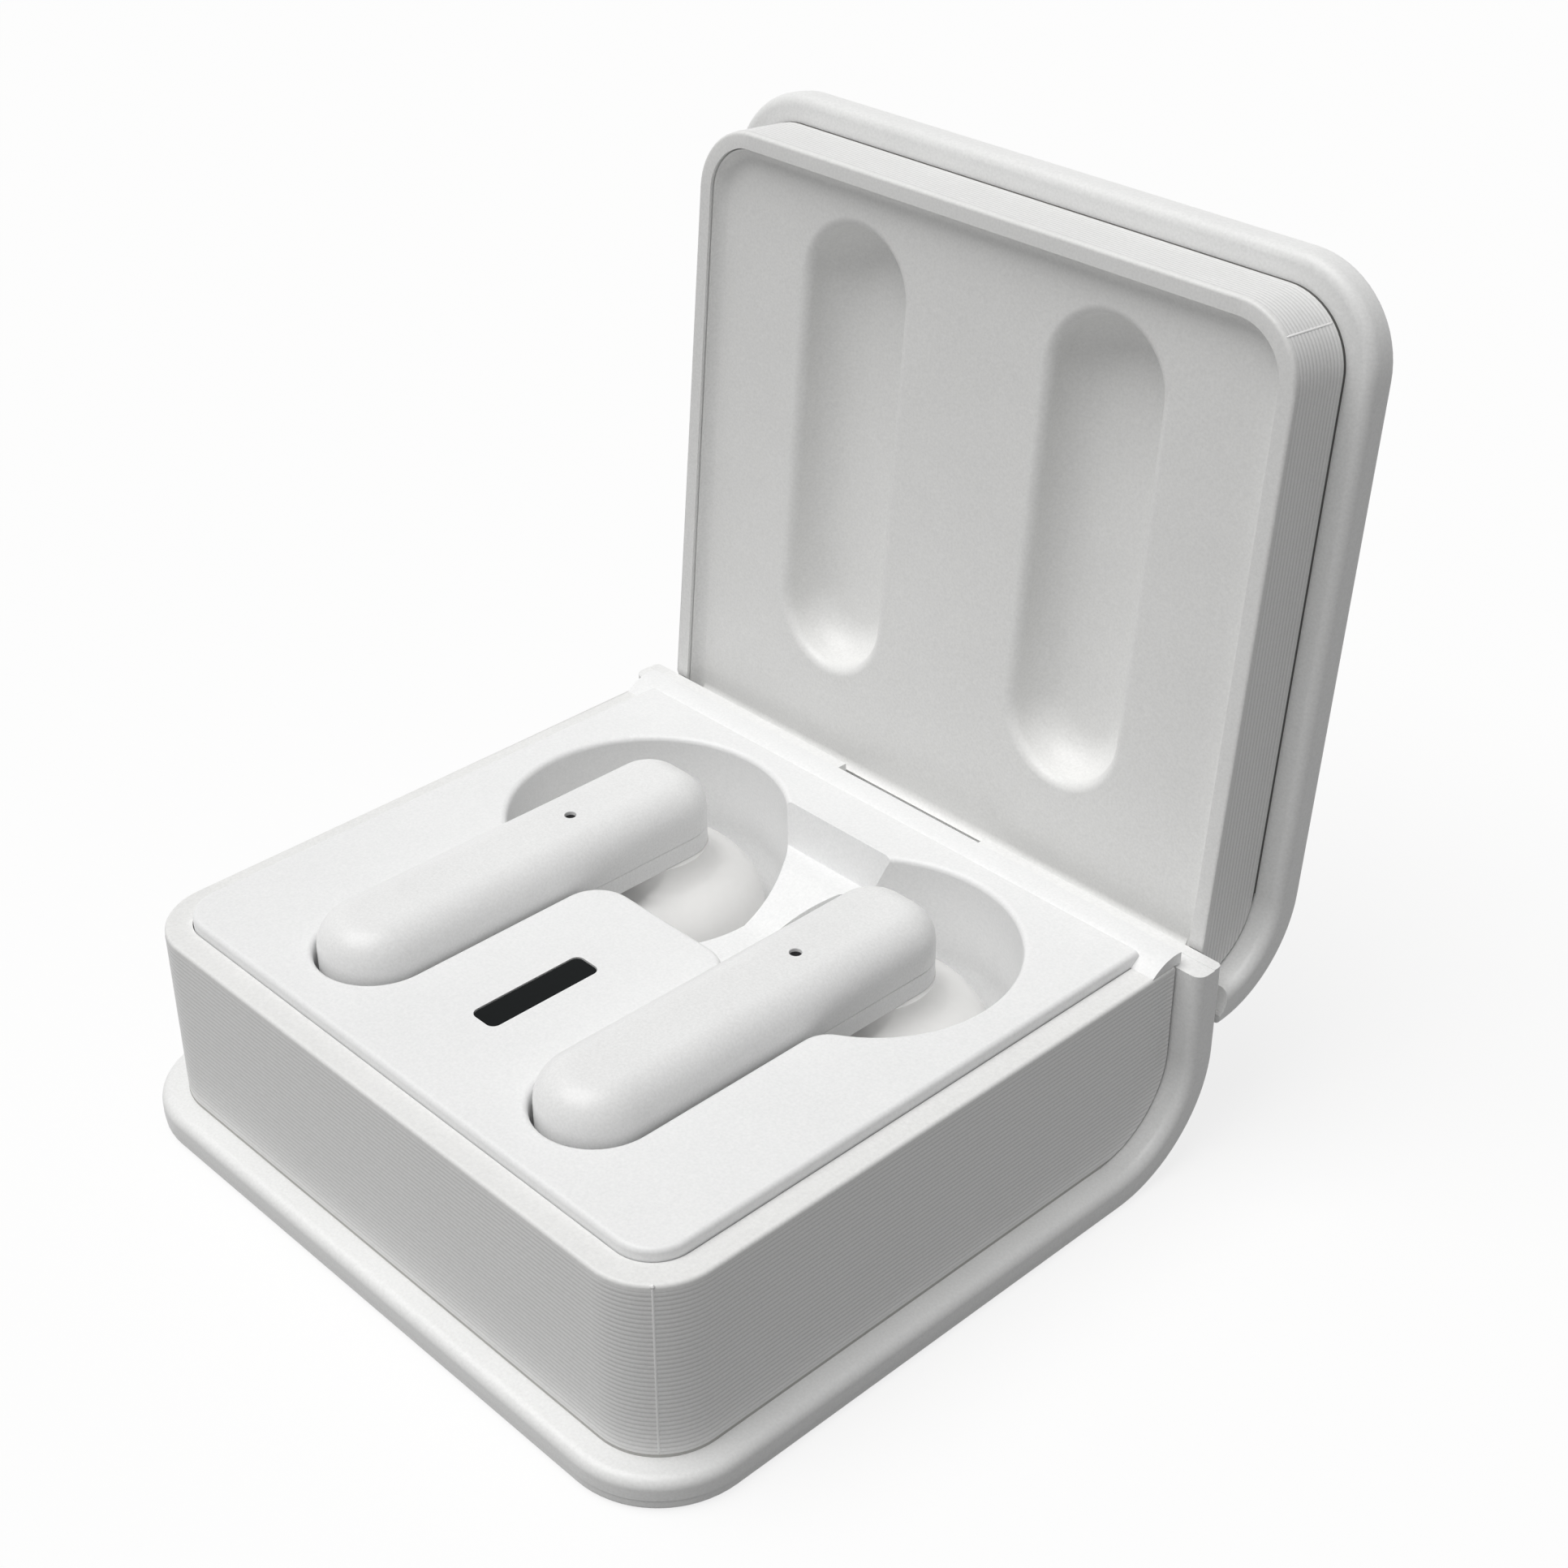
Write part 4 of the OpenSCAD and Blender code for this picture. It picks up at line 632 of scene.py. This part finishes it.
# The main board carries the charger, its coil, the control chip and a row of capacitors on its underside.
# It is green solder mask on glass fibre, and the black light module for the display stands on it.
def board_mask(name, colour, line):
    """Solder mask over copper: lighter tracks in a stepped pattern, and a slight orange peel."""
    finish = bpy.data.materials.new(name)
    finish.use_nodes = True
    tree = finish.node_tree
    shader = tree.nodes["Principled BSDF"]
    where = tree.nodes.new("ShaderNodeTexCoord")
    tracks = add(tree, "ShaderNodeTexBrick", Vector=where.outputs["Object"], Scale=420.0,
                 Color1=(*colour, 1), Color2=(*[c * 0.8 for c in colour], 1), Mortar=(*line, 1))
    tracks.inputs["Mortar Size"].default_value = 0.035
    tree.links.new(tracks.outputs["Color"], shader.inputs["Base Color"])
    peel = add(tree, "ShaderNodeTexNoise", Vector=where.outputs["Object"], Scale=3500.0, Detail=2.0)
    gloss = tree.nodes.new("ShaderNodeMapRange")
    gloss.inputs["To Min"].default_value = 0.28
    gloss.inputs["To Max"].default_value = 0.52
    tree.links.new(peel.outputs["Fac"], gloss.inputs["Value"])
    tree.links.new(gloss.outputs["Result"], shader.inputs["Roughness"])
    bump = add(tree, "ShaderNodeBump", Strength=0.5, Distance=0.01 * MM, Height=tracks.outputs["Fac"])
    tree.links.new(bump.outputs["Normal"], shader.inputs["Normal"])
    return finish


green_mask = board_mask("green_solder_mask", (0.02, 0.13, 0.05), (0.05, 0.24, 0.1))
chip_black = plastic("moulded_chip_black", (0.035, 0.035, 0.038), rough=0.55, grain=9000,
                     depth=0.008 * MM, drift=0.08)
moulded("main_circuit_board", "main_board", "base", green_mask, edge=0.06 * MM)
moulded("main_board_parts", "board_parts", "base", chip_black, edge=0.08 * MM)
moulded("display_light_block", "display_block", "base", chip_black, edge=0.15 * MM)


# The charging socket is a drawn steel shell round a black tongue with two rows of gilt strips.
# It is soldered to a small board of its own, with its mouth flush in the spine's lower half.
def strip_tree():
    """Two rows of flat contact strips, one on each face of a tongue."""
    tree, given, result = new_tree("socket_strips", [
        ("Strips", "Int", 12), ("Pitch", "Float", 0.5 * MM), ("Width", "Float", 0.26 * MM),
        ("Length", "Float", 3 * MM), ("Gap", "Float", 0.7 * MM), ("Finish", "Material", None)])
    thick = 0.04 * MM
    size = add(tree, "ShaderNodeCombineXYZ", X=given.outputs["Width"], Y=given.outputs["Length"], Z=thick)
    strip = add(tree, "GeometryNodeMeshCube", Size=size.outputs[0])
    step = add(tree, "ShaderNodeCombineXYZ", X=given.outputs["Pitch"])
    back = number(tree, "MULTIPLY", number(tree, "SUBTRACT", given.outputs["Strips"], 1), -0.5)
    first = add(tree, "ShaderNodeCombineXYZ", X=number(tree, "MULTIPLY", back, given.outputs["Pitch"]),
                Z=number(tree, "MULTIPLY", given.outputs["Gap"], 0.5))
    row = add(tree, "GeometryNodeMeshLine", Count=given.outputs["Strips"], Start_Location=first.outputs[0],
              Offset=step.outputs[0])
    laid = add(tree, "GeometryNodeInstanceOnPoints", Points=row.outputs[0], Instance=strip.outputs[0])
    other = add(tree, "GeometryNodeTransform", Geometry=laid.outputs[0], Rotation=(0, math.pi, 0))
    both = tree.nodes.new("GeometryNodeJoinGeometry")
    tree.links.new(laid.outputs[0], both.inputs[0])
    tree.links.new(other.outputs[0], both.inputs[0])
    closing(tree, both.outputs[0], given, result)
    return tree


drawn_steel = metal("drawn_socket_steel", (0.62, 0.62, 0.63), rough=0.3, grain=2600, stretch=(1, 0.12, 1))
gilt = metal("gilt_contact", (0.86, 0.62, 0.24), rough=0.26, grain=5000)
socket_low, socket_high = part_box("usb_socket")
socket_mid = (socket_low + socket_high) / 2
socket_shell = moulded("charging_socket_shell", "usb_socket", "base", drawn_steel,
                       edge=0.1 * MM)
socket_shell.data.materials.append(chip_black)
tongue_half = 0.36 * MM
tongue_wide = 3.36 * MM
tongue_thick = 0.71 * MM
tongue_end = socket_high.y - 0.9 * MM
mouth_rim = 0.3 * MM
back_wall = 0.5 * MM
strip_set_back = 0.3 * MM
strip_length = 3.0 * MM
for face in socket_shell.data.polygons:
    flat = abs(face.center.z - socket_mid.z) < tongue_half
    inside = abs(face.center.x) < tongue_wide and face.center.y < socket_high.y - mouth_rim
    if flat and inside and face.center.y > socket_low.y + back_wall:
        face.material_index = 1
strip_y = tongue_end - strip_set_back - strip_length / 2
strips = grown("socket_strips", strip_tree(), {"Length": strip_length, "Gap": tongue_thick, "Finish": gilt},
               place=Matrix.Translation((0, strip_y, socket_mid.z)))
carry(strips, "base")
moulded("socket_circuit_board", "usb_board", "base", green_mask, edge=0.06 * MM)


# A black contact block under each stem slot guides two gilt spring pins that charge an earbud.
# The pins are turned brass with round tips, and coil springs of drawn wire push them up.
def spring_tree():
    """A row of coil springs wound from round wire."""
    tree, given, result = new_tree("pin_springs", [
        ("Radius", "Float", 0.68 * MM), ("Height", "Float", 1.2 * MM), ("Wire", "Float", 0.1 * MM),
        ("Turns", "Float", 4.5), ("Apart", "Float", 4 * MM), ("Finish", "Material", None)])
    coil = add(tree, "GeometryNodeCurveSpiral", Resolution=24, Rotations=given.outputs["Turns"],
               Start_Radius=given.outputs["Radius"], End_Radius=given.outputs["Radius"],
               Height=given.outputs["Height"])
    wire = add(tree, "GeometryNodeCurvePrimitiveCircle", Resolution=8, Radius=given.outputs["Wire"])
    wound = add(tree, "GeometryNodeCurveToMesh", Curve=coil.outputs[0], Profile_Curve=wire.outputs[0],
                Fill_Caps=True)
    step = add(tree, "ShaderNodeCombineXYZ", Y=given.outputs["Apart"])
    places = add(tree, "GeometryNodeMeshLine", Count=2, Offset=step.outputs[0])
    row = add(tree, "GeometryNodeInstanceOnPoints", Points=places.outputs[0], Instance=wound.outputs[0])
    closing(tree, row.outputs[0], given, result)
    return tree


spring_wire = metal("drawn_spring_wire", (0.6, 0.6, 0.6), rough=0.32, grain=6000)
wire_r = 0.1 * MM
spring_r = 0.8 * MM
pin_springs = spring_tree()
for side in ("left", "right"):
    moulded(side + "_pin_guide", side + "_contact_block", "base", chip_black, edge=0.12 * MM)
    low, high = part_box(side + "_contact_springs")
    coils = grown(side + "_pin_coils", pin_springs, {
        "Radius": spring_r - wire_r, "Height": high.z - low.z - 2 * wire_r, "Wire": wire_r,
        "Apart": high.y - low.y - 2 * spring_r, "Finish": spring_wire},
        place=Matrix.Translation(((low.x + high.x) / 2, low.y + spring_r, low.z + wire_r)))
    settle(coils, side + "_contact_springs", "base")
    for end in ("front", "rear"):
        moulded(side + "_charging_pin_" + end, side + "_contact_" + end, side + "_pin_" + end,
                gilt, edge=0.16 * MM)


# Sintered magnets with a bright nickel plate hold the earbuds in their slots and the lid shut.
# They are glued under the tray's floor and behind its front rim.
nickel = metal("nickel_plate", (0.66, 0.65, 0.63), rough=0.24, grain=4000)
moulded("slot_magnets", "bud_magnets", "base", nickel, edge=0.15 * MM)
moulded("front_magnet", "base_magnet", "base", nickel, edge=0.15 * MM)


# The tray is one white ABS moulding with a slot and a bowl for each earbud, and a finger channel behind.
# It drops into the page block and its soft rims stand a little proud of the block's edge.
tray_white = plastic("satin_tray", (0.918, 0.925, 0.93), rough=0.42, grain=5000, depth=0.014 * MM)
crisp("tray_deck", "tray", "base", tray_white)


# The display window is a slip of polished black acrylic, pressed flush into the tray between the slots.
# Only faint finger marks show in its gloss.
window_gloss = plastic("polished_black_acrylic", (0.0048, 0.0062, 0.0066), rough=0.14, grain=2500,
                       depth=0.001 * MM, drift=0.1)
window_gloss.node_tree.nodes["Principled BSDF"].inputs["Specular IOR Level"].default_value = 0.06
moulded("display_pane", "display_window", "base", window_gloss, edge=0.1 * MM)


# The hinge pin is a ground steel rod, pressed through the lugs of the base.
# The lid's knuckle turns on it.
ground_steel = metal("ground_pin_steel", (0.6, 0.6, 0.61), rough=0.25, grain=3000, stretch=(0.1, 1, 1))
moulded("hinge_rod", "hinge_pin", "base", ground_steel, edge=0.15 * MM)


# The lid repeats the base: two glued shells, a ribbed page block and a liner, in the same white ABS.
# The liner has a long soft pocket over each stem and a cove round its edge; a magnet sits at its front.
# A near-black bead in the joint between the page block and its shell is painted shadow, for the shade in
# that gap.
hinge_y = 24.74 * MM
hinge_z = 14.38 * MM
open_angle = 95
axis = Matrix.Translation((0, hinge_y, hinge_z))
opened = axis @ Matrix.Rotation(math.radians(-open_angle), 4, "X") @ axis.inverted()
lid_rim_z = 17.22 * MM
lid_rib_z = 17.68 * MM
lid_shadow_strip_z = 22.46 * MM
lid_bend = {"bend_y": 19.26 * MM, "bend_z": 17.1 * MM, "radius": 5.44 * MM, "way": 1,
            "shut": opened.inverted()}
crisp("lid_outer_shell", "lid_outer_plate", "lid", shell_white)
crisp("lid_inner_shell", "lid_cover", "lid", shell_white)
lid_pages = crisp("lid_pages", "lid_page_block", "lid", page_white)
soft_rim(lid_pages, lid_rim_z, lid_bend["shut"])
lid_ribs = {"Ribs": 12, "Pitch": rib_step, "Finish": rib_white}
page_strip("lid_page_ribs", lid_ribs, lid_rib_z, lid_bend, "lid")
# Painted shadow: a near-black bead in the joint under the lid's shell stands for the shade in that gap.
painted_joint_shadow = plastic("painted_joint_shadow", (0.085, 0.083, 0.08), rough=0.7, grain=4000, depth=0.006 * MM, drift=0.1)
lid_shadow_strip = {"Ribs": 1, "Pitch": 0.3 * MM, "Finish": painted_joint_shadow}
page_strip("lid_painted_shadow_bead", lid_shadow_strip, lid_shadow_strip_z, lid_bend, "lid")
lid_line = mould_line("lid_mould_line", low=17.4 * MM, high=22.4 * MM, burr=0)
# The lid's mould line carries the same painted highlight.
lid_line.data.materials.append(painted_seam_highlight)
lid_line.data.transform(opened)
carry(lid_line, "lid")
liner_white = plastic("satin_liner", (0.87, 0.87, 0.862), rough=0.42, grain=5000, depth=0.014 * MM)
crisp("lid_lining", "lid_liner", "lid", liner_white)
moulded("lid_front_magnet", "lid_magnet", "lid", nickel, edge=0.15 * MM)


# Each earbud has a stem of two white ABS halves, welded along a fine joint, on a smooth cream-white bulb.
# Inside are a pouch cell, a board, a microphone, a speaker behind a pierced grille, a magnet and two pads.
def pierced_tree():
    """A round plate pierced with holes in a honeycomb pattern."""
    tree, given, result = new_tree("pierced_plate", [
        ("Radius", "Float", 2.5 * MM), ("Thickness", "Float", 0.5 * MM), ("Hole", "Float", 0.15 * MM),
        ("Pitch", "Float", 0.5 * MM), ("Margin", "Float", 0.3 * MM), ("Finish", "Material", None)])
    plate = add(tree, "GeometryNodeMeshCylinder", Vertices=64, Radius=given.outputs["Radius"],
                Depth=given.outputs["Thickness"])
    rows = 11
    honeycomb = 1.732
    run = number(tree, "MULTIPLY", given.outputs["Pitch"], rows - 1)
    field = tree.nodes.new("GeometryNodeJoinGeometry")
    for shift in (0.0, 0.5):
        grid = add(tree, "GeometryNodeMeshGrid", Size_X=run, Size_Y=number(tree, "MULTIPLY", run, honeycomb),
                   Vertices_X=rows, Vertices_Y=rows)
        moved = add(tree, "ShaderNodeCombineXYZ", X=number(tree, "MULTIPLY", given.outputs["Pitch"], shift),
                    Y=number(tree, "MULTIPLY", given.outputs["Pitch"], shift * honeycomb))
        placed = add(tree, "GeometryNodeTransform", Geometry=grid.outputs[0], Translation=moved.outputs[0])
        tree.links.new(placed.outputs[0], field.inputs[0])
    where = tree.nodes.new("GeometryNodeInputPosition")
    far = tree.nodes.new("ShaderNodeVectorMath")
    far.operation = "LENGTH"
    tree.links.new(where.outputs[0], far.inputs[0])
    inner = number(tree, "SUBTRACT", given.outputs["Radius"], given.outputs["Margin"])
    edge = number(tree, "SUBTRACT", inner, given.outputs["Hole"])
    outside = number(tree, "GREATER_THAN", far.outputs["Value"], edge)
    kept = add(tree, "GeometryNodeDeleteGeometry", Geometry=field.outputs[0], Selection=outside)
    drill = add(tree, "GeometryNodeMeshCylinder", Vertices=10, Radius=given.outputs["Hole"],
                Depth=number(tree, "MULTIPLY", given.outputs["Thickness"], 3))
    drills = add(tree, "GeometryNodeInstanceOnPoints", Points=kept.outputs[0], Instance=drill.outputs[0])
    bits = add(tree, "GeometryNodeRealizeInstances", Geometry=drills.outputs[0])
    cut = add(tree, "GeometryNodeMeshBoolean", Mesh_1=plate.outputs[0], Mesh_2=bits.outputs[0])
    cut.operation = "DIFFERENCE"
    closing(tree, cut.outputs[0], given, result)
    return tree


def turned(name, outline, foot, finish):
    """A round piece turned about an upright line from an outline of (radius, height) points."""
    steps = 112
    work = bmesh.new()
    rings = []
    for radius, height in outline:
        if radius < 1e-9:
            rings.append([work.verts.new(foot + Vector((0, 0, height)))])
            continue
        ring = []
        for step in range(steps):
            a = 2 * math.pi * step / steps
            ring.append(work.verts.new(foot + Vector((radius * math.cos(a), radius * math.sin(a), height))))
        rings.append(ring)
    for first, second in zip(rings, rings[1:]):
        for step in range(steps):
            after = (step + 1) % steps
            corners = [first[step % len(first)], first[after % len(first)],
                       second[after % len(second)], second[step % len(second)]]
            work.faces.new(list(dict.fromkeys(corners)))
    bmesh.ops.recalc_face_normals(work, faces=work.faces)
    for face in work.faces:
        face.smooth = True
    sharpen(work.edges, degrees=35)
    mesh = bpy.data.meshes.new(name)
    mesh.materials.append(finish)
    return placed(name, mesh, work)


def bulb_outline():
    """The bulb's wall: out round its full belly, in through the hollow of its neck, and back inside."""
    belly_x = 4.2 * MM
    belly_z = 4.7 * MM
    belly_r = 4.7 * MM
    neck_x = 4.6 * MM
    neck_z = 10.75 * MM
    peg_z = 11.0 * MM
    wall = 0.9 * MM
    mouth = 2.55 * MM
    lip = 0.25 * MM
    lip_bend = 0.07 * MM
    hollow_r = 1.7061 * MM
    lean = math.atan2(neck_z - belly_z, neck_x + hollow_r - belly_x)
    outside = [(mouth, lip), (mouth + lip_bend, lip_bend), (mouth + lip, 0), (belly_x, 0)]
    inside = [(mouth, lip), (mouth, wall), (belly_x, wall)]
    turns = 44
    neck_turns = 12
    for step in range(1, turns + 1):
        a = -math.pi / 2 + (lean + math.pi / 2) * step / turns
        outside.append((belly_x + belly_r * math.cos(a), belly_z + belly_r * math.sin(a)))
        inside.append((belly_x + (belly_r - wall) * math.cos(a), belly_z + (belly_r - wall) * math.sin(a)))
    for step in range(1, neck_turns + 1):
        a = math.pi + lean - lean * step / neck_turns
        outside.append((neck_x + hollow_r + hollow_r * math.cos(a), neck_z + hollow_r * math.sin(a)))
    outside += [(neck_x, peg_z), (0, peg_z)]
    inside += [(belly_x, neck_z - 2 * wall), (0, neck_z - 2 * wall)]
    return list(reversed(inside)) + outside[1:]


stem_white = plastic("satin_stem", (0.885, 0.888, 0.886), rough=0.36, grain=5500, depth=0.016 * MM,
                     drift=0.08)
bulb_cream = plastic("polished_bulb", (0.955, 0.95, 0.94), rough=0.3, grain=1200, depth=0.003 * MM,
                     drift=0.02, uneven=0.015)
grille_steel = metal("pierced_grille_steel", (0.3, 0.3, 0.31), rough=0.36, grain=4000)
mic_mesh = metal("black_mic_mesh", (0.05, 0.05, 0.052), rough=0.5, grain=9000)
pierced = pierced_tree()
mic_sunk = 0.32 * MM
for side in ("left", "right"):
    bud = side + "_bud"
    moulded(side + "_stem_upper", side + "_stem_top", bud, stem_white, edge=0.1 * MM)
    moulded(side + "_stem_lower", side + "_stem_bottom", bud, stem_white, edge=0.1 * MM)
    low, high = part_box(side + "_head")
    foot = Vector(((low.x + high.x) / 2, (low.y + high.y) / 2, low.z))
    bulb = turned(side + "_bulb", bulb_outline(), foot, bulb_cream)
    settle(bulb, side + "_head", bud)
    low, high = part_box(side + "_grille")
    middle = (low + high) / 2
    grille = grown(side + "_pierced_grille", pierced, {
        "Radius": (high.x - low.x) / 2, "Thickness": high.z - low.z, "Hole": 0.15 * MM, "Pitch": 0.48 * MM,
        "Margin": 0.35 * MM, "Finish": grille_steel}, place=Matrix.Translation(middle))
    settle(grille, side + "_grille", bud)
    moulded(side + "_speaker_can", side + "_speaker", bud, chip_black, edge=0.2 * MM)
    moulded(side + "_bud_cell", side + "_bud_battery", bud, foil, edge=0.4 * MM)
    moulded(side + "_bud_circuit", side + "_bud_board", bud, green_mask, edge=0.06 * MM)
    moulded(side + "_mic_can", side + "_microphone", bud, chip_black, edge=0.08 * MM)
    moulded(side + "_charging_pads", side + "_bud_contacts", bud, gilt, edge=0.1 * MM)
    moulded(side + "_stem_magnet", side + "_bud_magnet", bud, nickel, edge=0.1 * MM)
    mic_low, mic_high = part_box(side + "_microphone")
    stem_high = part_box(side + "_stem_top")[1]
    mic_place = (mic_low + mic_high) / 2
    mic_place.z = stem_high.z - mic_sunk
    screen = grown(side + "_mic_screen", pierced, {
        "Radius": 0.44 * MM, "Thickness": 0.08 * MM, "Hole": 0.035 * MM, "Pitch": 0.1 * MM,
        "Margin": 0.05 * MM, "Finish": mic_mesh}, place=Matrix.Translation(mic_place))
    carry(screen, bud)
